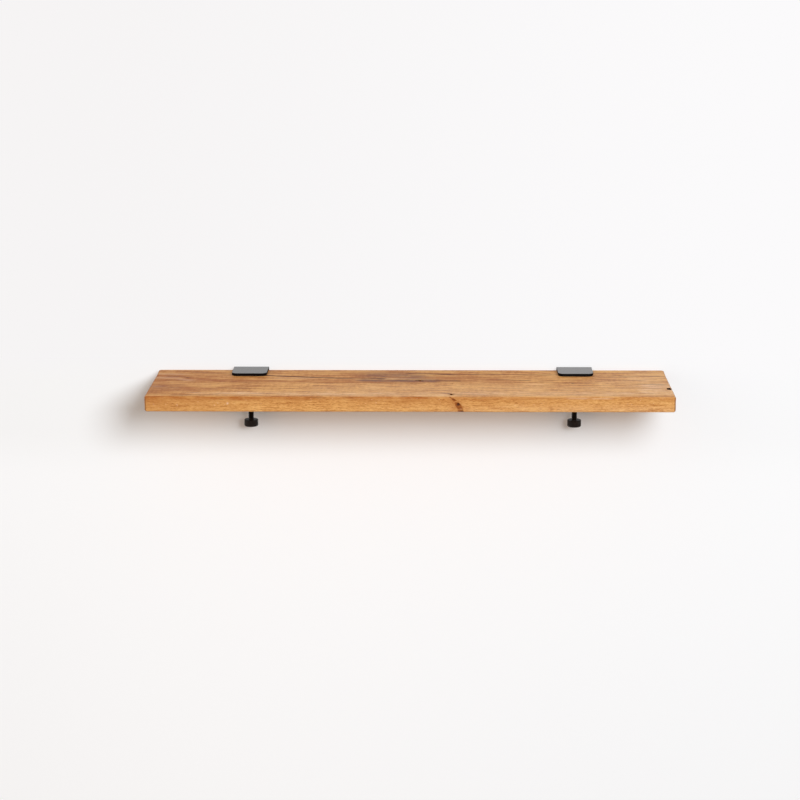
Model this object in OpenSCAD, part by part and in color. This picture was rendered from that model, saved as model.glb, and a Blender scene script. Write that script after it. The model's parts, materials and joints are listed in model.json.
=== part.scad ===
// Wall shelf: one solid oak board, held by two C-shaped steel clamp brackets.
// Each bracket is screwed flat to the wall. Its upper arm lies on the board, and a thumb screw in its
// lower arm presses a swivel foot up against the board's underside.
// Millimetres. X runs along the wall, Y into the wall, Z up. The origin is the middle of the four wall
// screw holes, on the wall's surface.

/* [Board] */
// Length of the board along the wall
board_length = 900; // [700:10:1200]
// Depth of the board, from its back edge to its front edge
board_depth = 200; // [160:5:300]
// Thickness of the board
board_thick = 27; // [18:1:36]
// Rounding along the board's edges
board_round = 3; // [1:0.5:6]
// Gap between the board's back edge and the brackets' back plates
board_gap = 4.5; // [0.3:0.1:5]
// How far the middle of the board stands to the left of the middle of the brackets
board_offset = 3; // [-20:1:20]

/* [Brackets] */
// Distance from each end of the board to the middle of its bracket, before the board's offset
bracket_inset = 162; // [120:1:200]
// Width of each bracket's steel strip
bracket_width = 62; // [45:1:90]
// Thickness of the steel strip
steel_thick = 4; // [3:0.5:6]
// Reach of the upper arm in front of the wall
upper_reach = 58; // [52:1:90]
// Reach of the lower arm in front of the wall
lower_reach = 58; // [52:1:90]
// Rounding of the front corners of each arm
arm_corner_r = 10; // [2:0.5:15]
// Radius inside each bend of the strip
bend_r = 1.5; // [1:0.5:5]

/* [Wall screw holes] */
// Diameter of the wall screw holes
wall_hole_d = 5.5; // [4:0.1:7]
// Distance of the holes from the bracket's upper and lower end
wall_hole_margin = 14; // [13:0.5:20]
// Diameter of the countersinks at the front of the back plates
countersink_d = 11; // [8:0.5:12]

/* [Liner under the upper arm] */
// Thickness of the liner between the upper arm and the board
liner_thick = 1; // [0.5:0.1:3]
// Distance from the strip's edges to the liner's edges
liner_inset = 0.5; // [0:0.1:1.5]

/* [Clamp nut] */
// Width across the flats of the clamp nut
nut_flats = 17; // [16:0.5:22]
// Height of the nut above the lower arm
nut_h = 7; // [5:0.5:10]
// Chamfer around the nut's top
nut_chamfer = 1; // [0.5:0.1:1.5]
// Diameter of the collar that sits in the lower arm's hole
nut_collar_d = 12.5; // [11.5:0.1:14]
// Height of that collar
nut_collar_h = 2; // [1:0.5:2.5]

/* [Clamp screw] */
// Outside diameter of the thread
thread_d = 10; // [8:0.5:10]
// Distance from one thread ridge to the next
thread_pitch = 1.5; // [1.25:0.25:2]
// Depth of the thread
thread_depth = 0.8; // [0.5:0.05:1]
// Distance of the screw's axis from the wall
screw_setback = 34; // [28:0.5:38]
// How far the foot can be lowered from the clamped board
clamp_travel = 16.5; // [10:0.5:24]
// Distance from the lower arm down to the knob, left for thinner boards
knob_drop = 21.4; // [10:0.2:30]
// Diameter of the neck that carries the foot
neck_d = 7; // [6:0.1:8]
// Depth of the clip's groove in the neck
groove_depth = 0.7; // [0.4:0.1:1]
// Length of the neck beyond the clip
neck_tip = 0.9; // [0.5:0.1:1.2]

/* [Pressure foot] */
// Diameter of the foot's flange
foot_d = 32; // [24:0.5:40]
// Thickness of the flange
flange_thick = 3; // [2.5:0.1:4]
// Diameter of the foot's hub
hub_d = 18; // [14:0.5:20]
// Height of the hub below the flange
hub_h = 3.5; // [2.5:0.1:6]
// Diameter of the rubber pad on the foot
pad_d = 30; // [20:0.5:38]
// Thickness of the rubber pad
pad_thick = 1.5; // [1:0.1:3]
// Chamfer around the pad's upper edge
pad_chamfer = 0.4; // [0.2:0.1:0.6]
// Width of each round grip groove in the pad's top
pad_groove_width = 1; // [0.5:0.1:1.5]
// Depth of the pad's grip grooves
pad_groove_depth = 0.5; // [0.2:0.1:0.7]
// Distance from one of those grooves to the next
pad_groove_step = 3.5; // [2.5:0.1:5]

/* [Retaining clip] */
// Width of the ring from its inner to its outer edge
clip_width = 3; // [1.5:0.1:3.5]
// Thickness of the clip
clip_thick = 0.8; // [0.5:0.1:1]
// Width of the clip's opening
clip_mouth = 3.6; // [2:0.1:4.2]

/* [Knob] */
// Diameter of the knob
knob_d = 24.5; // [20:0.5:36]
// Height of the knob
knob_h = 12; // [8:0.5:20]
// Chamfer around the knob's two ends
knob_chamfer = 1.2; // [0.5:0.1:2.5]
// Number of grip grooves around the knob
grip_count = 30; // [12:1:48]
// Diameter of the cutter that leaves each grip groove
grip_cut_d = 1.6; // [0.8:0.1:2.4]
// Depth of the grip grooves
grip_depth = 0.5; // [0.2:0.1:0.8]
// Thickness of the knob below the screw's end, which is moulded into it
knob_floor = 3; // [2:0.5:5]
// Width of the rim around the dish in the knob's lower end
knob_rim = 2.5; // [1:0.1:5]
// Depth of that dish
dish_depth = 0.8; // [0.3:0.1:1]

/* [Fits] */
// Gap all round a turning part in its hole
turn_gap = 0.05; // [0.02:0.01:0.1]
// Gap all round the nut's collar in the lower arm
seat_gap = 0.1; // [0.05:0.05:0.3]
// Play along the neck between the clip and the foot
clip_play = 0.1; // [0.05:0.05:0.3]
// Gap around the clip in the recess in the top of the foot
clip_room = 1.2; // [0.5:0.1:1.5]
// Gap between the neck's tip and the pad
tip_room = 0.3; // [0.2:0.1:0.5]
// Gap between the foot and the nut when the foot is fully lowered
end_gap = 0.5; // [0.3:0.1:2]

/* [Hidden] */
$fn = 96;

// Overlap of cutters past the faces that they cut
past = 1;

// Free height between the board and the lower arm: the foot, its travel and the nut
foot_stack = pad_thick + flange_thick + hub_h;
jaw_room = foot_stack + clamp_travel + end_gap + nut_h;

// The brackets stand equally far from the two ends of a board that isn't offset
bracket_spacing = board_length - 2 * bracket_inset;

// The bracket stands with the middle of its height at the origin's height
jaw_height = jaw_room + board_thick + liner_thick;
bracket_height = jaw_height + 2 * steel_thick;
bracket_top = bracket_height / 2;
wall_hole_z = bracket_top - wall_hole_margin;
lower_arm_top = -bracket_top + steel_thick;
board_bottom = lower_arm_top + jaw_room;
board_back = -steel_thick - board_gap;
bend_outer_r = bend_r + steel_thick;

// Heights in the clamp, from the board's underside down
foot_top = board_bottom - pad_thick;
shoulder_z = board_bottom - foot_stack;
neck_top = foot_top - tip_room;
groove_h = clip_thick + clip_play;
groove_z = neck_top - neck_tip - groove_h;
clip_z = groove_z + clip_play / 2;
recess_floor = clip_z - clip_play;
recess_h = foot_top - recess_floor;
groove_d = neck_d - 2 * groove_depth;
clip_d = groove_d + 2 * clip_width;
recess_d = clip_d + 2 * clip_room;
knob_top = -bracket_top - knob_drop;
shank_length = shoulder_z - knob_top;
knob_socket = knob_h - knob_floor;
dish_d = knob_d - 2 * (knob_chamfer + knob_rim);

// Sizes of holes, from what goes through them
nut_bore_d = thread_d + 2 * turn_gap;
neck_bore_d = neck_d + 2 * turn_gap;
arm_hole_d = nut_collar_d + 2 * seat_gap;
countersink_h = (countersink_d - wall_hole_d) / 2;

oak = [0.78, 0.60, 0.40];
black_steel = [0.16, 0.16, 0.17];
blackened_steel = [0.20, 0.19, 0.18];
black_rubber = [0.09, 0.09, 0.09];
black_plastic = [0.13, 0.12, 0.12];

// Each bracket stands where its own middle is
module at_bracket(side) {
    translate([side * bracket_spacing / 2, 0, 0])
        children();
}

// Stands its children on the clamp screw's axis at a given height
module on_screw_axis(z) {
    translate([0, -screw_setback, z])
        children();
}

// A rectangle with all four corners round
module round_rectangle(size_x, size_y, r) {
    union() {
        translate([r, 0]) square([size_x - 2 * r, size_y]);
        translate([0, r]) square([size_x, size_y - 2 * r]);
        for (x = [r, size_x - r], y = [r, size_y - r])
            translate([x, y]) circle(r = r);
    }
}

// One solid plank with every edge round
module board() {
    color(oak)
        translate([-board_length / 2 - board_offset, board_back - board_depth, board_bottom])
            intersection() {
                linear_extrude(board_thick)
                    round_rectangle(board_length, board_depth, board_round);
                rotate([90, 0, 90])
                    linear_extrude(board_length)
                        round_rectangle(board_depth, board_thick, board_round);
                translate([0, board_depth, 0])
                    rotate([90, 0, 0])
                        linear_extrude(board_depth)
                            round_rectangle(board_length, board_thick, board_round);
            }
}

// The bent strip seen from its side: back plate, two bends and two arms, with the wall at x = 0
module strip_profile() {
    difference() {
        union() {
            translate([0, bend_outer_r - bracket_top])
                square([bend_outer_r, bracket_height - 2 * bend_outer_r]);
            translate([bend_outer_r, bracket_top - bend_outer_r])
                circle(r = bend_outer_r);
            translate([bend_outer_r, bend_outer_r - bracket_top])
                circle(r = bend_outer_r);
            translate([bend_outer_r, bracket_top - bend_outer_r])
                square([upper_reach - bend_outer_r, bend_outer_r]);
            translate([bend_outer_r, -bracket_top])
                square([lower_reach - bend_outer_r, bend_outer_r]);
        }
        translate([steel_thick, -jaw_height / 2])
            jaw_cutter();
    }
}

// The space between the arms, with its back corners round
module jaw_cutter() {
    reach = max(upper_reach, lower_reach) + past;
    union() {
        translate([bend_r, 0]) square([reach, jaw_height]);
        translate([0, bend_r]) square([reach, jaw_height - 2 * bend_r]);
        for (y = [bend_r, jaw_height - bend_r])
            translate([bend_r, y]) circle(r = bend_r);
    }
}

// An arm's outline from above: the wall edge at y = 0 and round corners in front
module arm_outline(reach) {
    translate([-bracket_width / 2, -reach])
        union() {
            translate([arm_corner_r, 0]) square([bracket_width - 2 * arm_corner_r, reach]);
            translate([0, arm_corner_r]) square([bracket_width, reach - arm_corner_r]);
            for (x = [arm_corner_r, bracket_width - arm_corner_r])
                translate([x, arm_corner_r]) circle(r = arm_corner_r);
        }
}

// A through hole in the back plate, countersunk at its front face
module wall_hole(z) {
    translate([0, 0, z])
        rotate([90, 0, 0]) {
            translate([0, 0, -past])
                cylinder(d = wall_hole_d, h = steel_thick + 2 * past);
            translate([0, 0, steel_thick - countersink_h])
                cylinder(d1 = wall_hole_d, d2 = countersink_d, h = countersink_h);
            translate([0, 0, steel_thick])
                cylinder(d = countersink_d, h = past);
        }
}

module bracket(side) {
    color(black_steel)
        at_bracket(side)
            difference() {
                intersection() {
                    translate([bracket_width / 2, 0, 0])
                        rotate([90, 0, -90])
                            linear_extrude(bracket_width)
                                strip_profile();
                    union() {
                        linear_extrude(bracket_height)
                            arm_outline(upper_reach);
                        translate([0, 0, -bracket_height])
                            linear_extrude(bracket_height)
                                arm_outline(lower_reach);
                    }
                }
                for (z = [-wall_hole_z, wall_hole_z])
                    wall_hole(z);
                on_screw_axis(-bracket_top - past)
                    cylinder(d = arm_hole_d, h = steel_thick + 2 * past);
            }
}

// The liner covers the flat underside of the upper arm, from the bend to the front
module liner(side) {
    flat_reach = upper_reach - bend_outer_r;
    liner_width = bracket_width - 2 * liner_inset;
    color(black_rubber)
        at_bracket(side)
            translate([0, 0, board_bottom + board_thick])
                linear_extrude(liner_thick)
                    intersection() {
                        translate([-liner_width / 2, liner_inset - upper_reach])
                            round_rectangle(liner_width, upper_reach, arm_corner_r - liner_inset);
                        translate([-bracket_width / 2, liner_inset - upper_reach])
                            square([bracket_width, flat_reach - 2 * liner_inset]);
                    }
}

// A hexagonal nut on the lower arm, with a collar that sits in the arm's hole
module clamp_nut(side) {
    nut_corners_d = nut_flats / cos(30);
    nut_top_d = nut_corners_d - 2 * nut_chamfer / tan(30);
    color(blackened_steel)
        at_bracket(side)
            on_screw_axis(lower_arm_top)
                difference() {
                    union() {
                        intersection() {
                            cylinder(d = nut_corners_d, h = nut_h, $fn = 6);
                            union() {
                                cylinder(d = nut_corners_d + past, h = nut_h - nut_chamfer);
                                translate([0, 0, nut_h - nut_chamfer])
                                    cylinder(
                                        d1 = nut_corners_d,
                                        d2 = nut_top_d,
                                        h = nut_chamfer
                                    );
                            }
                        }
                        translate([0, 0, -nut_collar_h])
                            cylinder(d = nut_collar_d, h = nut_collar_h + past);
                    }
                    translate([0, 0, -nut_collar_h - past])
                        cylinder(d = nut_bore_d, h = nut_h + nut_collar_h + 2 * past);
                }
}

// The outline of one side of the threaded shank, from its lower end up, as ridges and valleys
function thread_points(length) =
    let (
        r = thread_d / 2,
        root = thread_d / 2 - thread_depth,
        turns = floor(length / thread_pitch) - 1,
        crest = thread_pitch / 8,
        flank = thread_pitch * 3 / 8
    )
    [
        for (i = [0 : turns - 1], p = [
            [r, crest],
            [root, crest + flank],
            [root, crest + flank + crest],
            [r, thread_pitch]
        ])
            [p[0], i * thread_pitch + p[1]]
    ];

// The screw: a threaded shank, then a shoulder under the foot and a grooved neck through it
module clamp_screw(side) {
    r = thread_d / 2;
    neck_r = neck_d / 2;
    groove_r = groove_d / 2;
    bottom = knob_top - knob_socket;
    tip_chamfer = neck_tip / 2;
    color(blackened_steel)
        at_bracket(side)
            on_screw_axis(0)
                rotate_extrude()
                    polygon(concat(
                        [[0, bottom], [r, bottom]],
                        [for (p = thread_points(shank_length)) [p[0], knob_top + p[1]]],
                        [
                            [r, shoulder_z],
                            [neck_r, shoulder_z],
                            [neck_r, groove_z],
                            [groove_r, groove_z],
                            [groove_r, groove_z + groove_h],
                            [neck_r, groove_z + groove_h],
                            [neck_r, neck_top - tip_chamfer],
                            [neck_r - tip_chamfer, neck_top],
                            [0, neck_top]
                        ]
                    ));
}

// An open ring that snaps into the neck's groove and keeps the foot on the screw
module retaining_clip(side) {
    color(blackened_steel)
        at_bracket(side)
            on_screw_axis(clip_z)
                difference() {
                    cylinder(d = clip_d, h = clip_thick);
                    translate([0, 0, -past])
                        cylinder(d = groove_d, h = clip_thick + 2 * past);
                    translate([-clip_mouth / 2, -clip_d, -past])
                        cube([clip_mouth, clip_d, clip_thick + 2 * past]);
                }
}

// A turned steel foot that swivels on the screw's neck
module pressure_foot(side) {
    color(blackened_steel)
        at_bracket(side)
            on_screw_axis(shoulder_z)
                difference() {
                    union() {
                        cylinder(d = hub_d, h = hub_h);
                        translate([0, 0, hub_h])
                            cylinder(d = foot_d, h = flange_thick);
                    }
                    translate([0, 0, -past])
                        cylinder(d = neck_bore_d, h = hub_h + flange_thick + 2 * past);
                    translate([0, 0, hub_h + flange_thick - recess_h])
                        cylinder(d = recess_d, h = recess_h + past);
                }
}

// A rubber disc with a chamfered edge and round grip grooves in its top
module foot_pad(side) {
    r = pad_d / 2;
    groove_floor = pad_thick - pad_groove_depth;
    groove_count = floor((r - pad_chamfer - pad_groove_width) / pad_groove_step);
    color(black_rubber)
        at_bracket(side)
            on_screw_axis(foot_top)
                rotate_extrude()
                    difference() {
                        polygon([
                            [0, 0],
                            [r, 0],
                            [r, pad_thick - pad_chamfer],
                            [r - pad_chamfer, pad_thick],
                            [0, pad_thick]
                        ]);
                        for (i = [1 : groove_count])
                            translate([i * pad_groove_step - pad_groove_width / 2, groove_floor])
                                square([pad_groove_width, pad_groove_depth + past]);
                    }
}

// A knob moulded over the screw's lower end, with grip grooves all round
module knob(side) {
    r = knob_d / 2;
    color(black_plastic)
        at_bracket(side)
            on_screw_axis(knob_top - knob_h)
                difference() {
                    rotate_extrude()
                        polygon([
                            [0, 0],
                            [r - knob_chamfer, 0],
                            [r, knob_chamfer],
                            [r, knob_h - knob_chamfer],
                            [r - knob_chamfer, knob_h],
                            [0, knob_h]
                        ]);
                    translate([0, 0, knob_h - knob_socket])
                        cylinder(d = thread_d, h = knob_socket + past);
                    translate([0, 0, -past])
                        cylinder(d = dish_d, h = dish_depth + past);
                    for (i = [0 : grip_count - 1])
                        rotate([0, 0, i * 360 / grip_count])
                            translate([r - grip_depth + grip_cut_d / 2, 0, -past])
                                cylinder(d = grip_cut_d, h = knob_h + 2 * past, $fn = 24);
                }
}

board();
bracket(-1);  // left_bracket
liner(-1);  // left_liner
clamp_nut(-1);  // left_clamp_nut
clamp_screw(-1);  // left_clamp_screw
retaining_clip(-1);  // left_retaining_clip
pressure_foot(-1);  // left_pressure_foot
foot_pad(-1);  // left_foot_pad
knob(-1);  // left_knob
bracket(1);  // right_bracket
liner(1);  // right_liner
clamp_nut(1);  // right_clamp_nut
clamp_screw(1);  // right_clamp_screw
retaining_clip(1);  // right_retaining_clip
pressure_foot(1);  // right_pressure_foot
foot_pad(1);  // right_foot_pad
knob(1);  // right_knob
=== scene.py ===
"""The looks of a clamped wall shelf: one oiled oak board in two black steel clamp brackets.

Everything is in metres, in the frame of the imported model: X runs along the wall to the viewer's
right, Y into the wall and Z up. The origin is the middle of the four wall screw holes, on the
wall's surface.
"""

import itertools
import json
import logging
import math
from dataclasses import dataclass, replace
from enum import Enum
from typing import Any

import bpy
import numpy as np
from mathutils import Matrix, Vector


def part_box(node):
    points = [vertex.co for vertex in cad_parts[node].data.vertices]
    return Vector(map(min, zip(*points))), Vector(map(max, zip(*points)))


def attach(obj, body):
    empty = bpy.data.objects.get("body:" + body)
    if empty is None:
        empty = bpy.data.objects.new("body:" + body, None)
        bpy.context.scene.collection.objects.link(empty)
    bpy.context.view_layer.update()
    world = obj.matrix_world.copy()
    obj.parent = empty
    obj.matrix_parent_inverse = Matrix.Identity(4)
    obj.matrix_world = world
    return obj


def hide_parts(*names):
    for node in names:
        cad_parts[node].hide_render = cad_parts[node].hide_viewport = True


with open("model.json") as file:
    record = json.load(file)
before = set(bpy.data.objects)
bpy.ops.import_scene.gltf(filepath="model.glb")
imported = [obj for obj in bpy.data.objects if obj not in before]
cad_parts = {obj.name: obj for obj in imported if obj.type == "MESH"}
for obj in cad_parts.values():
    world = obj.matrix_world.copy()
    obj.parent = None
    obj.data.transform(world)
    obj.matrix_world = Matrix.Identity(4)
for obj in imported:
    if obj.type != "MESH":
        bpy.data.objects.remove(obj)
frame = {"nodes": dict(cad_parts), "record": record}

MM = 0.001
MERGE_GAP = 0.002 * MM

Material = bpy.types.Material
Piece = bpy.types.Object
Socket = bpy.types.NodeSocket
Triple = tuple[float, float, float]
Profile = list[tuple[float, float]]

log = logging.getLogger("shelf")


class Side(Enum):
    """The two ends of the shelf, as the frame names them."""

    LEFT = "left"
    RIGHT = "right"

    def named(self, part: str) -> str:
        """The name of this side's own piece or body of a kind."""
        return f"{self.value}_{part}"


class Tone(Enum):
    """The tones laid over the oak, each a channel of the board's stain attribute: real marks, and some
    painted shade.
    """

    DARK = 0
    IRON = 1
    RED = 2
    PALE = 3


class Face(Enum):
    """The faces of the board that carry marks of their own."""

    TOP = "top"
    FRONT = "front"


def srgb(red: float, green: float, blue: float) -> tuple[float, float, float, float]:
    """A colour as a shader takes it.

    Args:
        red: Red as a screen shows it, from 0 to 255.
        green: Green in the same way.
        blue: Blue in the same way.

    Returns:
        The linear colour with full alpha.
    """
    shares = np.array([red, green, blue]) / 255
    linear = np.where(shares <= 0.04045, shares / 12.92, ((shares + 0.055) / 1.055) ** 2.4)
    return (*(float(value) for value in linear), 1.0)


@dataclass(frozen=True)
class Wire:
    """One output in a node tree. Arithmetic on it adds Math nodes to that tree."""

    tree: bpy.types.NodeTree
    socket: Socket

    def math(self, operation: str, *others: "Wire | float") -> "Wire":
        """Puts this value and the others after it into one Math node.

        Args:
            operation: The Math node's operation.
            others: The values after this one.

        Returns:
            The result.
        """
        node = self.tree.nodes.new("ShaderNodeMath")
        node.operation = operation
        for entry, value in zip(node.inputs, (self, *others)):
            feed(self.tree, entry, value)
        return Wire(self.tree, node.outputs[0])

    def __add__(self, other: "Wire | float") -> "Wire":
        """The sum."""
        return self.math("ADD", other)

    def __sub__(self, other: "Wire | float") -> "Wire":
        """The difference."""
        return self.math("SUBTRACT", other)

    def __mul__(self, other: "Wire | float") -> "Wire":
        """The product."""
        return self.math("MULTIPLY", other)

    def __truediv__(self, other: "Wire | float") -> "Wire":
        """The quotient."""
        return self.math("DIVIDE", other)

    def rest_of(self, whole: float) -> "Wire":
        """What is left of a whole once this value is taken from it."""
        return self.math("MULTIPLY_ADD", -1.0, whole)

    def steps(self, start: "Wire | float", length: "Wire | float") -> "Wire":
        """How far this value has gone from a start over a length, held between 0 and 1."""
        return ((self - start) / length).math("MAXIMUM", 0.0).math("MINIMUM", 1.0)

    def ramp(self, low: "Wire | float", high: "Wire | float") -> "Wire":
        """A smooth rise along this value.

        Args:
            low: Where it starts, at 0.
            high: Where it ends, at 1.

        Returns:
            The share, from 0 to 1.
        """
        node = self.tree.nodes.new("ShaderNodeMapRange")
        node.interpolation_type = "SMOOTHSTEP"
        for name, value in (("Value", self), ("From Min", low), ("From Max", high)):
            feed(self.tree, node.inputs[name], value)
        return Wire(self.tree, node.outputs[0])


def feed(tree: bpy.types.NodeTree, entry: Socket, value: Any) -> None:
    """Gives a node's input a wire or a constant.

    Args:
        tree: The tree that the node is in.
        entry: The node's input.
        value: A wire, a socket, or a constant of the input's own kind.
    """
    if isinstance(value, Wire):
        tree.links.new(value.socket, entry)
    elif isinstance(value, Socket):
        tree.links.new(value, entry)
    else:
        entry.default_value = value


class Nodes:
    """Adds nodes to one tree and joins them."""

    def __init__(self, tree: bpy.types.NodeTree) -> None:
        """Starts on a shader or geometry tree."""
        self.tree = tree

    def add(self, kind: str, inputs: dict[str, Any] | None = None, **settings: Any) -> bpy.types.Node:
        """Adds one node.

        Args:
            kind: The node's type name.
            inputs: What goes into its named inputs.
            settings: The node's own settings.

        Returns:
            The node.
        """
        node = self.tree.nodes.new(kind)
        for name, value in settings.items():
            setattr(node, name, value)
        for name, value in (inputs or {}).items():
            feed(self.tree, node.inputs[name], value)
        return node

    def wire(self, node: bpy.types.Node, output: str | int = 0) -> Wire:
        """One of a node's outputs as a wire."""
        return Wire(self.tree, node.outputs[output])

    def vector(self, operation: str, *values: Any) -> Wire:
        """Adds a Vector Math node.

        Args:
            operation: The node's operation.
            values: What goes into its inputs, in their order.

        Returns:
            The result, which is one value for a dot product.
        """
        node = self.add("ShaderNodeVectorMath", operation=operation)
        for entry, value in zip(node.inputs, values):
            feed(self.tree, entry, value)
        return self.wire(node, "Value" if operation == "DOT_PRODUCT" else "Vector")

    def join(self, x: Any, y: Any, z: Any) -> Wire:
        """A vector of three values."""
        return self.wire(self.add("ShaderNodeCombineXYZ", {"X": x, "Y": y, "Z": z}))

    def split(self, vector: Wire) -> tuple[Wire, Wire, Wire]:
        """The three values of a vector."""
        node = self.add("ShaderNodeSeparateXYZ", {"Vector": vector})
        return self.wire(node, "X"), self.wire(node, "Y"), self.wire(node, "Z")

    def noise(self, place: Wire, scale: float, detail: float = 2.0, roughness: float = 0.5) -> Wire:
        """Soft noise around 0.5, with cells to each unit of a place and finer, weaker layers."""
        sizes = {"Vector": place, "Scale": scale, "Detail": detail, "Roughness": roughness}
        return self.wire(self.add("ShaderNodeTexNoise", sizes), "Fac")

    def blend(self, share: Wire | float, first: Any, second: Any) -> Wire:
        """A mix of two colours.

        Args:
            share: How much of the second colour shows, from 0 to 1.
            first: A wire or a constant colour.
            second: A wire or a constant colour.

        Returns:
            The mixed colour.
        """
        node = self.add("ShaderNodeMix", data_type="RGBA", clamp_factor=True)
        for place, value in ((0, share), (6, first), (7, second)):
            feed(self.tree, node.inputs[place], value)
        return self.wire(node, 2)


class MaterialNodes(Nodes):
    """A material and the nodes that make it."""

    def __init__(self, name: str) -> None:
        """Starts a material with one shader in it.

        Args:
            name: The material's name.
        """
        self.material = bpy.data.materials.new(name)
        self.material.use_nodes = True
        super().__init__(self.material.node_tree)
        self.tree.nodes.clear()
        self.shader = self.add("ShaderNodeBsdfPrincipled")
        self.output = self.add("ShaderNodeOutputMaterial", {"Surface": self.shader.outputs[0]})

    def place(self) -> Wire:
        """Each point's place in the frame, in metres."""
        return self.wire(self.add("ShaderNodeTexCoord"), "Object")

    def attribute(self, name: str, output: str) -> Wire:
        """A value that the piece's own mesh carries."""
        return self.wire(self.add("ShaderNodeAttribute", attribute_name=name), output)

    def surface(self, **inputs: Any) -> None:
        """Sets the shader's inputs, with underscores for the spaces in their names."""
        for name, value in inputs.items():
            feed(self.tree, self.shader.inputs[name.replace("_", " ")], value)

    def bump(self, height: Wire, depth: float, strength: float = 1.0) -> None:
        """Raises the surface where height, a share of depth in metres, is high."""
        node = self.add("ShaderNodeBump", {"Strength": strength, "Distance": depth, "Height": height})
        feed(self.tree, self.shader.inputs["Normal"], self.wire(node))


@dataclass(frozen=True)
class GrainNoise:
    """Noise that runs with the oak's grain, and how much it tells in the oak's tone.

    Its cells are counted along the grain, over the year rings and around the tree.
    """

    cells: Triple
    detail: float
    roughness: float
    shift: float = 0.0
    weight: float = 0.0
    on_front: float = 0.0
    in_calm: float = 0.0

    def value(self, wood: MaterialNodes, grain: Wire) -> Wire:
        """The noise's value, around 0.5, at each point's place in the grain."""
        place = wood.vector("MULTIPLY_ADD", grain, self.cells, (self.shift, 0.0, 0.0))
        return wood.noise(place, 1.0, self.detail, self.roughness)

    def tone(self, wood: MaterialNodes, facing: Wire, value: Wire) -> Wire:
        """What its value adds to the tone, where the facing says front or calm grain."""
        share = wood.vector("DOT_PRODUCT", facing, (0.0, self.on_front, self.in_calm))
        return (value - 0.5) * (share + self.weight)


GRAIN = {
    "clouds": GrainNoise((0.8, 0.12, 1.5), 2.0, 0.5, weight=0.5, on_front=-0.4),
    "streaks": GrainNoise((0.8, 0.45, 5.0), 5.0, 0.62, weight=1.7, on_front=-1.1, in_calm=-0.8),
    "bands": GrainNoise((0.9, 0.8, 0.5), 2.0, 0.6, weight=1.5, on_front=-1.0, in_calm=-0.5),
    "fibres": GrainNoise((2.6, 1.2, 34.0), 3.0, 0.55, weight=2.0, on_front=-0.7),
    "specks": GrainNoise((19.0, 2.0, 55.0), 3.5, 0.8, weight=1.4, on_front=0.3),
    "grit": GrainNoise((17.0, 1.5, 62.0), 1.0, 0.6, weight=0.3, on_front=0.5),
    "chatter": GrainNoise(
        (17.0, 0.1, 7.0), 1.0, 0.5, shift=5.0, weight=0.6, on_front=-0.4, in_calm=-0.25,
    ),
    "seams": GrainNoise((1.7, 0.8, 13.0), 2.0, 0.5, shift=9.0, weight=1.7, in_calm=-1.7),
    "pores": GrainNoise((11.0, 4.2, 95.0), 2.0, 0.55),
    "warm": GrainNoise((1.5, 0.3, 11.0), 3.0, 0.6, shift=3.0),
    "broken": GrainNoise((4.5, 0.4, 9.0), 2.0, 0.6),
    "glints": GrainNoise((34.0, 3.0, 46.0), 0.0, 0.5),
    "speckle": GrainNoise((4.0, 6.0, 90.0), 3.0, 0.7),
}


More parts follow.
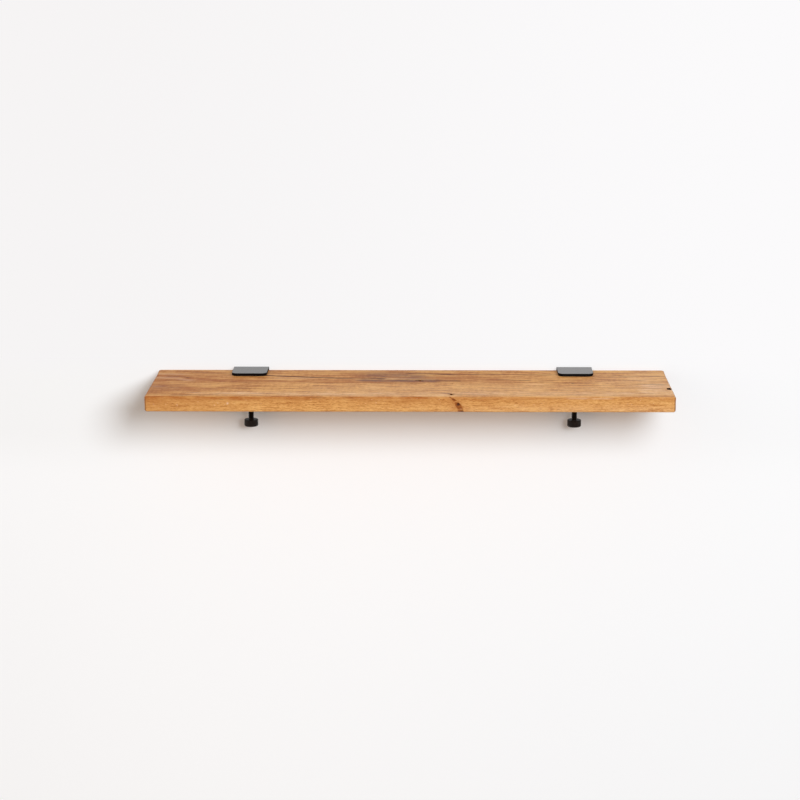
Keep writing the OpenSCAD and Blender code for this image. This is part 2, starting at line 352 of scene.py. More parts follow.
@dataclass(frozen=True)
class OiledOak:
    """Old oak with a brushed, oiled face, whose grain follows the board's own grain attribute."""

    name: str = "oak"
    light: Triple = (236, 181, 110)
    middle: Triple = (213, 151, 84)
    deep: Triple = (168, 100, 46)
    dark: Triple = (84, 42, 20)
    iron: Triple = (126, 84, 66)
    red: Triple = (166, 90, 34)
    pale: Triple = (242, 204, 168)
    # Near-black painted shade inside the nail holes.
    hollow: Triple = (22, 12, 8)
    end_tone: Triple = (170, 112, 66)
    mean_tone: float = 0.62
    late_tone: float = -0.16
    fleck_tone: float = -0.2
    roughness: float = 0.55
    gloss: float = 0.12
    pore_depth: float = 0.25 * MM

    def material(self) -> Material:
        """Builds the material.

        Returns:
            The oak, which reads the board's grain, facing and stain attributes.
        """
        wood = MaterialNodes(self.name)
        grain = wood.attribute("grain", "Vector")
        facing = wood.attribute("facing", "Vector")
        end, front, _ = wood.split(facing)
        noise = {name: kind.value(wood, grain) for name, kind in GRAIN.items()}
        flecks = noise["pores"].ramp(0.56, 0.72)
        late = self.late_wood(wood, grain, noise["streaks"])
        tone = late * self.late_tone + flecks * self.fleck_tone + self.mean_tone
        for name, kind in GRAIN.items():
            if kind.weight:
                tone = tone + kind.tone(wood, facing, noise[name])

        ramp = wood.add("ShaderNodeValToRGB", {"Fac": tone})
        stops = ramp.color_ramp.elements
        stops[0].position, stops[0].color = 0.1, srgb(*self.deep)
        stops[1].position, stops[1].color = 0.95, srgb(*self.light)
        stops.new(0.55).color = srgb(*self.middle)
        warm = noise["warm"].ramp(0.5, 0.72) * (front * -0.8 + 1.0) * 0.25
        colour = wood.blend(warm, wood.wire(ramp), srgb(*self.red))
        colour = self.stained_and_shaded(wood, colour, noise)
        glints = noise["glints"].ramp(0.76, 0.88) * (front * 0.45 + 0.1)
        colour = wood.blend(glints, colour, srgb(*self.pale))
        end_dark = late * 0.9 + noise["speckle"].ramp(0.5, 0.7) * 0.45
        end_colour = wood.blend(end_dark, srgb(*self.end_tone), srgb(*self.dark))
        wood.surface(
            Base_Color=wood.blend(end * 0.8, colour, end_colour),
            Roughness=(noise["pores"] - 0.5) * 0.25 + self.roughness,
            Specular_IOR_Level=self.gloss,
        )
        relief = noise["fibres"] * 0.35 + flecks.rest_of(1.0) * 0.5 + late * 0.15
        wood.bump(relief, self.pore_depth, 0.5)
        return wood.material

    def late_wood(self, wood: MaterialNodes, grain: Wire, streaks: Wire) -> Wire:
        """The late wood of the year rings, stronger in some years than in others.

        Args:
            wood: The oak's nodes.
            grain: Each point's place in the grain.
            streaks: Noise that makes the rings uneven.

        Returns:
            How much late wood there is, from 0 to 1.
        """
        _, ring, _ = wood.split(grain)
        phase = ring + (streaks - 0.5) * 0.5
        share = phase.math("FRACT")
        year = wood.wire(
            wood.add("ShaderNodeTexWhiteNoise", {"W": phase.math("FLOOR")}, noise_dimensions="1D")
        )
        return share.math("POWER", 2.6) * share.ramp(0.9, 1.0).rest_of(1.0) * (year * 0.8 + 0.2)

    def stained_and_shaded(self, wood: MaterialNodes, colour: Wire, noise: dict[str, Wire]) -> Wire:
        """Lays the tones of the board's stain attribute over its colour: real stains, and painted shade
        in the nail holes.

        Args:
            wood: The oak's nodes.
            colour: The colour so far.
            noise: The grain's noises by name.

        Returns:
            The stained colour.
        """
        stain_and_shade = wood.add("ShaderNodeAttribute", attribute_name="stain_and_shade")
        dark, iron, red = wood.split(wood.wire(stain_and_shade, "Color"))
        pale = wood.wire(stain_and_shade, "Alpha")
        broken = (noise["broken"] - 0.5) * 2.0
        uneven = (noise["fibres"] - 0.5) * 2.4 + (noise["specks"] - 0.5) * 2.0
        for amount, tint in ((pale, self.pale), (red, self.red), (iron, self.iron)):
            colour = wood.blend(amount * (uneven + broken + 1.0), colour, srgb(*tint))
        crisp = (dark * (uneven * 0.7 + broken * 0.5 + 1.0)).ramp(0.12, 0.85)
        colour = wood.blend(crisp, colour, srgb(*self.dark))
        # Past 1 the dark tone turns near-black: painted shade inside the nail holes.
        return wood.blend(dark.ramp(1.0, 1.5), colour, srgb(*self.hollow))


@dataclass(frozen=True)
class DarkFinish:
    """A dark finish with a second tone in patches, and a fine skin that the light catches.

    The patches and the skin are noises: cells for each metre, detail, and how strong that is.
    """

    name: str
    colour: Triple
    second: Triple
    patches: Triple
    patch_range: tuple[float, float]
    roughness: float
    swing: float
    skin: Triple
    skin_depth: float
    skin_strength: float
    gloss: float = 0.5
    metallic: float = 0.0
    skin_swings: bool = False
    # A lighter colour toward the right end, which is painted reflection, and how much smoother the
    # finish is there.
    right_sheen_tone: Triple | None = None
    right_polish: float = 0.06

    def material(self) -> Material:
        """Builds the material.

        Returns:
            The finish, which may be lighter and smoother toward the shelf's right end; the lighter
            colour is painted reflection.
        """
        finish = MaterialNodes(self.name)
        place = finish.place()
        patches = finish.noise(place, *self.patches)
        skin = finish.noise(place, *self.skin)
        colour = finish.blend(patches.ramp(*self.patch_range), srgb(*self.colour), srgb(*self.second))
        roughness = ((skin if self.skin_swings else patches) - 0.5) * self.swing + self.roughness
        if self.right_sheen_tone:
            across, _, _ = finish.split(place)
            right = across.ramp(-0.1, 0.1)
            # Lighter colour toward the right end: painted reflection on the right bracket; the smoother
            # finish there is real.
            colour = finish.blend(right, colour, srgb(*self.right_sheen_tone))
            roughness = roughness - right * self.right_polish
        finish.surface(
            Base_Color=colour,
            Metallic=self.metallic,
            Roughness=roughness,
            Specular_IOR_Level=self.gloss,
        )
        finish.bump(skin, self.skin_depth, self.skin_strength)
        return finish.material


# The right bracket's lighter coat colour is painted reflection.
POWDER_COAT = DarkFinish(
    "powder_coat", (20, 12, 16), (26, 19, 22), patches=(38.0, 4.0, 0.6), patch_range=(0.52, 0.75),
    roughness=0.19, swing=0.12, skin=(900.0, 2.0, 0.5), skin_depth=0.02 * MM, skin_strength=0.25,
    gloss=0.6, right_sheen_tone=(58, 52, 55),
)
# A copy of the coat for the strip's cut edges: the duller finish is real, the darker colour is painted
# shade.
CUT_EDGE_SHADED_COAT = replace(
    POWDER_COAT, name="cut_edge_shaded_coat", colour=(8, 4, 4), second=(14, 10, 10), right_sheen_tone=(11, 7, 7),
    roughness=0.6, gloss=0.06,
)
BLACK_OXIDE = DarkFinish(
    "black_oxide", (38, 27, 19), (74, 70, 66), patches=(160.0, 4.0, 0.6), patch_range=(0.55, 0.8),
    roughness=0.38, swing=0.3, skin=(1500.0, 2.0, 0.5), skin_depth=0.01 * MM, skin_strength=0.3,
    metallic=0.55,
)
MATT_RUBBER = DarkFinish(
    "rubber", (11, 11, 11), (22, 21, 21), patches=(120.0, 5.0, 0.65), patch_range=(0.45, 0.75),
    roughness=0.82, swing=0.2, skin=(2200.0, 2.0, 0.5), skin_depth=0.02 * MM, skin_strength=0.4,
    gloss=0.3,
)
MOULDED_PLASTIC = DarkFinish(
    "knob_plastic", (24, 14, 8), (39, 28, 20), patches=(140.0, 3.0, 0.6), patch_range=(0.4, 0.75),
    roughness=0.55, swing=0.2, skin=(2600.0, 2.0, 0.6), skin_depth=0.03 * MM, skin_strength=0.5,
    gloss=0.24, skin_swings=True,
)
FINISHES = (OiledOak(), POWDER_COAT, CUT_EDGE_SHADED_COAT, BLACK_OXIDE, MATT_RUBBER, MOULDED_PLASTIC)


class GeometryRecipe(Nodes):
    """A geometry tree with named sizes, which makes pieces as modifiers."""

    def __init__(self, name: str, takes_mesh: bool = False) -> None:
        """Starts a tree.

        Args:
            name: The tree's name.
            takes_mesh: Whether it works on the mesh before it.
        """
        super().__init__(bpy.data.node_groups.new(name, "GeometryNodeTree"))
        self.identifiers: dict[str, str] = {}
        for way in ("INPUT", "OUTPUT") if takes_mesh else ("OUTPUT",):
            self.tree.interface.new_socket("Geometry", in_out=way, socket_type="NodeSocketGeometry")
        self.entry = self.add("NodeGroupInput")

    def inputs(self, *names: str, kind: str = "Float") -> list[Wire]:
        """Adds named inputs.

        Args:
            names: Their names.
            kind: What they take.

        Returns:
            Their wires.
        """
        for name in names:
            item = self.tree.interface.new_socket(
                name, in_out="INPUT", socket_type=f"NodeSocket{kind}"
            )
            self.identifiers[name] = item.identifier
        return [self.wire(self.entry, name) for name in names]

    def end(self, geometry: Socket) -> None:
        """Closes the tree: instances are made real, and the finish is set.

        Args:
            geometry: What the tree has made.
        """
        [finish] = self.inputs("Finish", kind="Material")
        real = self.add("GeometryNodeRealizeInstances", {"Geometry": geometry})
        dressed = self.add(
            "GeometryNodeSetMaterial", {"Geometry": real.outputs[0], "Material": finish}
        )
        self.add("NodeGroupOutput", {"Geometry": dressed.outputs[0]})

    def shift(self, geometry: Socket, place: Wire) -> Socket:
        """Puts every point of a shape at its place."""
        node = self.add("GeometryNodeSetPosition", {"Geometry": geometry, "Position": place})
        return node.outputs[0]

    def sheet(self, columns: Any, rows: Any) -> Socket:
        """A flat sheet of one unit, with a given number of points along X and Y."""
        sizes = {"Size X": 1.0, "Size Y": 1.0, "Vertices X": columns, "Vertices Y": rows}
        return self.add("GeometryNodeMeshGrid", sizes).outputs["Mesh"]

    def merge(self, geometry: Socket) -> Socket:
        """Closes a shape's seams and poles."""
        sizes = {"Geometry": geometry, "Distance": MERGE_GAP}
        return self.add("GeometryNodeMergeByDistance", sizes).outputs[0]

    def move(self, geometry: Socket, by: Any, turn: Any = (0.0, 0.0, 0.0)) -> Socket:
        """Turns a whole shape and moves it."""
        sizes = {"Geometry": geometry, "Translation": by, "Rotation": turn}
        return self.add("GeometryNodeTransform", sizes).outputs[0]

    def repeat(self, spots: Socket, shape: Socket, turn: Any = (0.0, 0.0, 0.0)) -> Socket:
        """Puts a shape on each of some points."""
        sizes = {"Points": spots, "Instance": shape, "Rotation": turn}
        return self.add("GeometryNodeInstanceOnPoints", sizes).outputs[0]

    def use_on(self, piece: Piece, sizes: dict[str, Any]) -> None:
        """Adds the tree to a piece as a modifier.

        Args:
            piece: The piece.
            sizes: A value for each named input.
        """
        modifier = piece.modifiers.new(self.tree.name, "NODES")
        modifier.node_group = self.tree
        for name, value in sizes.items():
            modifier[self.identifiers[name]] = value


class TurnedRecipe(GeometryRecipe):
    """Turns a profile round an upright axis, with grip grooves, flats or a thread where wanted.

    The profile is the piece's own mesh: a line of points with the radius in X and the height in Z,
    drawn so that the outside is on its right on the way up.
    """

    plain = {
        "Steps": 64, "Flats": 1.0, "Grooves": 1.0, "Groove Depth": 0.0, "Groove Share": 1.0,
        "Rim Radius": 1.0, "Thread Depth": 0.0, "Thread Pitch": 1 * MM, "Thread Bottom": 0.0,
        "Thread Top": 1.0,
    }

    def __init__(self) -> None:
        """Builds the tree."""
        super().__init__("turned_piece", takes_mesh=True)
        profile = self.entry.outputs["Geometry"]
        [steps] = self.inputs("Steps", kind="Int")
        middle_x, middle_y = self.inputs("Middle X", "Middle Y")
        rows = self.wire(
            self.add("GeometryNodeAttributeDomainSize", {"Geometry": profile}, component="MESH")
        )
        sheet = self.sheet(steps + 1.0, rows)
        here = self.wire(self.add("GeometryNodeInputPosition"))
        across, up, _ = self.split(here)
        turn = across + 0.5
        row = ((up + 0.5) * (rows - 1.0)).math("ROUND")
        sample = self.add(
            "GeometryNodeSampleIndex", {"Geometry": profile, "Index": row}, data_type="FLOAT_VECTOR",
        )
        feed(self.tree, sample.inputs["Value"], here)
        radius, _, height = self.split(self.wire(sample))
        radius = self._thread(self._grooves(self._flats(radius, turn), turn), turn, height)
        angle = turn * math.tau
        place = self.join(
            radius * angle.math("COSINE") + middle_x,
            radius * angle.math("SINE") + middle_y,
            height,
        )
        self.end(self.merge(self.shift(sheet, place)))

    def _flats(self, radius: Wire, turn: Wire) -> Wire:
        """Cuts six flats, a given distance apart.

        Args:
            radius: The radius so far.
            turn: How far round it is, from 0 to 1.

        Returns:
            The radius with the flats cut.
        """
        [flats] = self.inputs("Flats")
        side = ((turn * 6.0).math("FRACT") - 0.5) * (math.tau / 6)
        return radius.math("MINIMUM", flats * 0.5 / side.math("COSINE"))

    def _grooves(self, radius: Wire, turn: Wire) -> Wire:
        """Cuts grip grooves into what lies at the rim's radius.

        Args:
            radius: The radius so far.
            turn: How far round it is, from 0 to 1.

        Returns:
            The radius with the grooves cut.
        """
        grooves, depth, share, rim = self.inputs(
            "Grooves", "Groove Depth", "Groove Share", "Rim Radius"
        )
        off_centre = (((turn * grooves + 0.5).math("FRACT") - 0.5) * 2.0 / share).math("POWER", 2.0)
        cut = off_centre.rest_of(1.0).math("MAXIMUM", 0.0) * depth
        return radius - cut * radius.ramp(rim - 1.5 * MM, rim - 0.1 * MM)

    def _thread(self, radius: Wire, turn: Wire, height: Wire) -> Wire:
        """Cuts a right-hand thread between two heights, which runs out at both ends.

        Args:
            radius: The radius so far.
            turn: How far round it is, from 0 to 1.
            height: Each point's height.

        Returns:
            The radius with the thread cut.
        """
        depth, pitch, bottom, top = self.inputs(
            "Thread Depth", "Thread Pitch", "Thread Bottom", "Thread Top"
        )
        valley = ((height / pitch - turn).math("FRACT") - 0.5).math("ABSOLUTE") * 2.0
        cut = valley.rest_of(1.0).steps(0.12, 0.76) * depth
        fade_in = height.steps(bottom, pitch)
        fade_out = (height - top).rest_of(0.0).steps(0.0, pitch)
        return radius - cut * fade_in * fade_out

    def make(
        self,
        name: str,
        profile: Profile,
        finish: Material,
        axis: tuple[float, float],
        sizes: dict[str, Any],
    ) -> Piece:
        """Turns a profile into a piece.

        Args:
            name: The piece's name.
            profile: The radius and height of each point of the profile, in metres.
            finish: The piece's material.
            axis: Where its upright axis stands.
            sizes: Values for the named inputs, where they aren't the plain ones.

        Returns:
            The piece, as a plain mesh.
        """
        points = [(r, 0.0, z) for r, z in profile]
        piece = new_piece(name, points, [(i, i + 1) for i in range(len(points) - 1)])
        place = {"Middle X": axis[0], "Middle Y": axis[1], "Finish": finish}
        self.use_on(piece, {**self.plain, **sizes, **place})
        bake_modifiers(piece)
        shade(piece, 32.0)
        return piece


class BentStripRecipe(GeometryRecipe):
    """Bends a flat steel strip into a C of upper arm, back plate and lower arm, with round tips.

    The strip is a block cut into rows from the upper tip to the lower one. Each row knows how far
    along each stretch of the C it is, so its place is the sum of the stretches behind it.
    """

    tip_rows: int = 10
    bend_rows: int = 12

    def __init__(self) -> None:
        """Builds the tree."""
        super().__init__("bent_strip")
        middle_x, width, thick, top, drop, upper, lower, bend, corner = self.inputs(
            "Middle X", "Width", "Thickness", "Top", "Height", "Upper Reach", "Lower Reach",
            "Bend Radius", "Corner Radius",
        )
        first_bend = self.tip_rows + 1
        back_start = first_bend + self.bend_rows
        second_bend = back_start + 1
        lower_start = second_bend + self.bend_rows
        lower_tip = lower_start + 1
        last_row = lower_tip + self.tip_rows
        blank = self.add(
            "GeometryNodeMeshCube",
            {"Size": (1.0, 1.0, 1.0), "Vertices X": 2, "Vertices Y": last_row + 1, "Vertices Z": 2},
        )
        across, along, through = self.split(self.wire(self.add("GeometryNodeInputPosition")))
        row = (along + 0.5) * float(last_row)

        quarter = math.pi / 2
        upper_arc = row.steps(0.0, float(self.tip_rows)) * quarter
        lower_arc = row.steps(float(lower_tip), float(self.tip_rows)) * quarter
        turn_1 = row.steps(float(first_bend), float(self.bend_rows)) * quarter
        turn_2 = row.steps(float(second_bend), float(self.bend_rows)) * quarter
        turned = turn_1 + turn_2
        mid_radius = bend + thick * 0.5
        outer = bend + thick
        y = (
            corner * upper_arc.math("COSINE").rest_of(1.0)
            + (upper - corner - outer) * row.steps(float(self.tip_rows), 1.0)
            + mid_radius * turn_1.math("SINE")
            - mid_radius * turn_2.math("COSINE").rest_of(1.0)
            - (lower - corner - outer) * row.steps(float(lower_start), 1.0)
            - corner * lower_arc.math("SINE")
            + through * thick * turned.math("SINE")
            - upper
        )
        z = (
            top - thick * 0.5
            - mid_radius * turn_1.math("COSINE").rest_of(1.0)
            - (drop - outer * 2.0) * row.steps(float(back_start), 1.0)
            - mid_radius * turn_2.math("SINE")
            + through * thick * turned.math("COSINE")
        )
        cut_corner = upper_arc.math("SINE").rest_of(1.0) + lower_arc.math("COSINE").rest_of(1.0)
        x = across * (width - corner * cut_corner * 2.0) + middle_x
        self.end(self.shift(blank.outputs["Mesh"], self.join(x, y, z)))


class DrillRecipe(GeometryRecipe):
    """Drills a bracket: two countersunk wall screw holes, and the hole for the nut's collar."""

    facets: int = 48

    def __init__(self) -> None:
        """Builds the tree."""
        super().__init__("drilled_bracket", takes_mesh=True)
        middle_x, hole, sink, spread, thick, arm_hole, axis_y, arm_z = self.inputs(
            "Middle X", "Wall Hole Diameter", "Countersink Diameter", "Wall Hole Spacing", "Thickness",
            "Arm Hole Diameter", "Screw Axis Y", "Arm Middle Z",
        )
        sink_depth = (sink - hole) * 0.5
        past = 1 * MM

        bores = self._upright(self._cylinder(hole, thick * 3.0), thick * -0.5)
        cone = self.add(
            "GeometryNodeMeshCone",
            {
                "Vertices": self.facets,
                "Radius Top": sink * 0.5 + past,
                "Radius Bottom": hole * 0.5,
                "Depth": sink_depth + past,
            },
        )
        sinks = self._upright(cone.outputs["Mesh"], (thick - sink_depth) * -1.0)
        start = self.join(middle_x, 0.0, spread * -0.5)
        step = self.join(0.0, 0.0, spread)
        line = self.add(
            "GeometryNodeMeshLine", {"Count": 2, "Start Location": start, "Offset": step}, mode="OFFSET"
        )
        cutters = [self.repeat(line.outputs[0], shape) for shape in (bores, sinks)]
        collar = self.move(self._cylinder(arm_hole, thick * 3.0), self.join(middle_x, axis_y, arm_z))
        drilled = self.add("GeometryNodeMeshBoolean", operation="DIFFERENCE", solver="EXACT")
        feed(self.tree, drilled.inputs["Mesh 1"], self.entry.outputs["Geometry"])
        for cutter in (*cutters, collar):
            real = self.add("GeometryNodeRealizeInstances", {"Geometry": cutter})
            feed(self.tree, drilled.inputs["Mesh 2"], real.outputs[0])
        self.end(drilled.outputs["Mesh"])

    def _cylinder(self, diameter: Wire, height: Wire) -> Socket:
        """A cylinder about its own middle."""
        sizes = {"Vertices": self.facets, "Radius": diameter * 0.5, "Depth": height}
        return self.add("GeometryNodeMeshCylinder", sizes).outputs["Mesh"]

    def _upright(self, shape: Socket, y: Wire) -> Socket:
        """Lays a cutter along the wall's normal, growing away from the wall, and starts it at y."""
        return self.move(shape, self.join(0.0, y, 0.0), (math.pi / 2, 0.0, 0.0))


class WeldRecipe(GeometryRecipe):
    """Lays short rippled weld beads against every second flat of a six-sided nut."""

    rows: int = 41
    facets: int = 13

    def __init__(self) -> None:
        """Builds the tree."""
        super().__init__("weld_beads")
        middle_x, middle_y, base, flats, bead, length, ripples = self.inputs(
            "Middle X", "Middle Y", "Base", "Flats", "Bead Radius", "Bead Length", "Ripples"
        )
        sheet = self.sheet(self.rows, self.facets)
        along, around, _ = self.split(self.wire(self.add("GeometryNodeInputPosition")))
        ripple = ((along * ripples * math.pi).math("SINE").math("ABSOLUTE")) * 0.18 + 0.82
        taper = ((along * 2.0).math("POWER", 6.0)).rest_of(1.0).math("MAXIMUM", 0.0).math("SQRT")
        radius = bead * ripple * taper
        angle = (around + 0.5) * math.tau
        place = self.join(
            radius * angle.math("COSINE") + flats * 0.5, along * length, radius * angle.math("SINE")
        )
        closed = self.merge(self.shift(sheet, place))
        spots = self.add("GeometryNodeMeshLine", {"Count": 3, "Offset": (0.0, 0.0, 0.0)}, mode="OFFSET")
        number = self.wire(self.add("GeometryNodeInputIndex"))
        turn = self.join(0.0, 0.0, number * (math.tau / 3) + math.tau / 12)
        beads = self.repeat(spots.outputs[0], closed, turn)
        self.end(self.move(beads, self.join(middle_x, middle_y, base)))


def new_piece(name: str, points: Any = (), edges: Any = (), faces: Any = ()) -> Piece:
    """Makes an object at the origin from mesh data.

    Args:
        name: The piece's name.
        points: The mesh's points.
        edges: The mesh's edges.
        faces: The mesh's faces.

    Returns:
        The object.
    """
    mesh = bpy.data.meshes.new(name)
    mesh.from_pydata([tuple(p) for p in points], list(edges), [tuple(f) for f in faces])
    piece = bpy.data.objects.new(name, mesh)
    bpy.context.scene.collection.objects.link(piece)
    return piece


def bake_modifiers(piece: Piece) -> None:
    """Turns a piece's modifiers into a plain mesh.

    Args:
        piece: The piece, whose modifiers are gone afterwards.
    """
    depsgraph = bpy.context.evaluated_depsgraph_get()
    made = bpy.data.meshes.new_from_object(
        piece.evaluated_get(depsgraph), preserve_all_data_layers=True, depsgraph=depsgraph
    )
    piece.modifiers.clear()
    piece.data = made


def shade(piece: Piece, sharp_from: float = 35.0) -> None:
    """Shades a piece smooth, with its flat faces left flat.

    Args:
        piece: The piece.
        sharp_from: The angle in degrees past which an edge stays sharp.
    """
    piece.data.shade_smooth()
    piece.data.set_sharp_from_angle(angle=math.radians(sharp_from))
    weighted = piece.modifiers.new("flat_faces", "WEIGHTED_NORMAL")
    weighted.keep_sharp = True
    weighted.weight = 100
    bake_modifiers(piece)


def soften(piece: Piece, width: float, segments: int = 3) -> None:
    """Rounds a piece's sharp edges.

    Args:
        piece: The piece.
        width: How wide the rounding is, in metres.
        segments: How many faces make it.
    """
    bevel = piece.modifiers.new("rounded_edges", "BEVEL")
    bevel.width = width
    bevel.segments = segments
    bevel.limit_method = "ANGLE"
    bevel.angle_limit = math.radians(40)
    bake_modifiers(piece)


def hand_over(piece: Piece, body: str, slot: str, *nodes: str) -> None:
    """Gives a finished piece to the frame and reports it.

    Args:
        piece: The piece.
        body: The body that it rides on.
        slot: The record's slot of its finish; not used.
        nodes: The CAD nodes that it stands for.
    """
    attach(piece, body)
    if nodes:
        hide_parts(*nodes)
    log.info("%s: %d faces, on %s", piece.name, len(piece.data.polygons), body)


def rounded_line(corners: list[Triple], arc_steps: int = 5) -> Profile:
    """A line through corners, with an arc in each corner that has a radius.

    Args:
        corners: The radius, height and rounding of each corner, in metres.
        arc_steps: How many steps each arc has.

    Returns:
        The points of the line.
    """
    line: Profile = []
    for index, (r, z, rounding) in enumerate(corners):
        here = Vector((r, z))
        if rounding <= 0 or index in (0, len(corners) - 1):
            line.append((r, z))
            continue
        back = (Vector(corners[index - 1][:2]) - here).normalized()
        ahead = (Vector(corners[index + 1][:2]) - here).normalized()
        half = back.angle(ahead) / 2
        centre = here + (back + ahead).normalized() * (rounding / math.sin(half))
        start = here + back * (rounding / math.tan(half)) - centre
        end = here + ahead * (rounding / math.tan(half)) - centre
        sweep = start.angle_signed(end)
        for step in range(arc_steps + 1):
            point = start.copy()
            point.rotate(Matrix.Rotation(-sweep * step / arc_steps, 2))
            line.append(tuple(centre + point))
    return line


class Noise(Enum):
    """Smooth noises over the plank: the size of their cells in millimetres, and their seed."""

    HOLLOWS = ((70, 34, 20), 11)
    RUBBING = ((26, 26, 26), 12)
    DENTS = ((9, 9, 9), 13)
    BOWS = ((260, 130, 90), 21)
    WAVES = ((95, 40, 40), 22)
    RIPPLES = ((30, 9, 9), 23)
    WANDER = ((70, 30, 30), 31)
    RAGS = ((16, 2.4, 2.4), 32)
    TEARS = ((50, 6, 6), 33)
    BLOTCHES = ((46, 30, 14), 34)
    CALM_EDGE = ((120, 30, 30), 35)
    KNOT_EDGE = ((5, 5, 3), 41)

    def at(self, points: np.ndarray) -> np.ndarray:
        """The noise at given points.

        Args:
            points: The points in millimetres, one in each row.

        Returns:
            One value from -1 to 1 for each point.
        """
        cell, seed = self.value
        scaled = points / np.array(cell)
        corner = np.floor(scaled).astype(np.int64)
        part = scaled - corner
        part = part * part * part * (part * (part * 6 - 15) + 10)
        total = np.zeros(len(points))
        for offset in itertools.product((0, 1), repeat=3):
            x, y, z = (corner + np.array(offset)).T
            mixed = (x * 73856093) ^ (y * 19349663) ^ (z * 83492791) ^ (seed * 49979687)
            mixed = ((mixed ^ (mixed >> 13)) * 1274126177) & 0x7FFFFFFF
            mixed = ((mixed ^ (mixed >> 15)) * 668265263) & 0x7FFFFFFF
            weight = np.prod(np.where(np.array(offset) == 1, part, 1 - part), axis=1)
            total += weight * (mixed / 0x3FFFFFFF - 1)
        return total


def smooth_step(values: np.ndarray, low: float, high: float) -> np.ndarray:
    """A smooth rise from 0 at low to 1 at high."""
    share = np.clip((values - low) / (high - low), 0, 1)
    return share * share * (3 - 2 * share)


def cut_places(length: float, pitch: float, spots: list[Triple]) -> np.ndarray:
    """Where a block of a given length is cut, closer together at given spots.

    Args:
        length: The block's length in millimetres.
        pitch: The distance between cuts away from the spots.
        spots: The middle, the half width and the pitch of each spot.

    Returns:
        The places, from 0 to the length.
    """
    fine = np.linspace(0, length, int(length * 10) + 1)
    local = np.full(len(fine), pitch)
    for middle, half, spot_pitch in spots:
        away = np.maximum(np.abs(fine - middle) - half, 0)
        local = np.minimum(local, spot_pitch + 0.3 * away)
    crossed = np.concatenate([[0], np.cumsum(np.diff(fine) / local[1:])])
    count = int(np.ceil(crossed[-1]))
    return np.interp(np.linspace(0, crossed[-1], count + 1), crossed, fine)


def block_skin(places: tuple[np.ndarray, np.ndarray, np.ndarray]) -> tuple[np.ndarray, np.ndarray]:
    """The skin of a block that is cut at given places along X, Y and Z.

    Args:
        places: The places of the cuts along each axis.

    Returns:
        The points, and the faces as four point numbers each, seen from outside.
    """
    shape = tuple(len(p) for p in places)
    spot = np.indices(shape)
    outside = np.zeros(shape, bool)
    for axis in range(3):
        outside |= (spot[axis] == 0) | (spot[axis] == shape[axis] - 1)
    number = np.full(shape, -1)
    number[outside] = np.arange(outside.sum())
    points = np.stack([places[axis][spot[axis][outside]] for axis in range(3)], axis=1)
    faces = []
    for axis, end in itertools.product(range(3), (0, -1)):
        sheet = np.take(number, end, axis=axis)
        corners = (sheet[:-1, :-1], sheet[1:, :-1], sheet[1:, 1:], sheet[:-1, 1:])
        quads = np.stack(corners, axis=-1).reshape(-1, 4)
        faces.append(quads if (end == -1) != (axis == 1) else quads[:, ::-1])
    return points, np.concatenate(faces)


@dataclass(frozen=True)
class Mark:
    """A mark in the wood that runs with the grain.

    Its points are in millimetres: along the board from its middle, and then forward from the back
    edge on the top, or up from the underside on the front.
    """

    tone: Tone
    face: Face
    points: tuple[tuple[float, float], ...]
    half_width: float
    taper: float
    strength: float

    def amount(self, along: np.ndarray, across: np.ndarray, ragged: np.ndarray) -> np.ndarray:
        """How strong the mark is at each place.

        Args:
            along: The places along the board.
            across: The places across the face.
            ragged: Noise around 0 that breaks up its outline.

        Returns:
            One share for each place.
        """
        xs, ys = np.array(self.points).T
        off = (across - np.interp(along, xs, ys)) / self.half_width
        past = np.maximum(np.maximum(xs[0] - along, along - xs[-1]), 0) / self.taper
        return self.strength * np.clip(1 + ragged, 0, 2) * np.exp(-(off**2) - past**2)


def marks(tone: Tone, face: Face, *rows: tuple[Any, ...]) -> list[Mark]:
    """Marks of one tone on one face, each row with points, half width, taper and strength."""
    return [Mark(tone, face, *row) for row in rows]


@dataclass(frozen=True)
class NailHole:
    """An old nail hole in the board's top, in millimetres from its middle and its back edge."""

    along: float
    forward: float
    half_length: float
    half_width: float
    depth: float

    def amount(self, along: np.ndarray, forward: np.ndarray) -> np.ndarray:
        """How much of the hole's depth is cut at each place.

        Args:
            along: The places along the board.
            forward: The places forward from its back edge.

        Returns:
            One share for each place.
        """
        x = (along - self.along) / self.half_length
        y = (forward - self.forward) / self.half_width
        return smooth_step(-np.hypot(x, y), -1.35, -0.8)


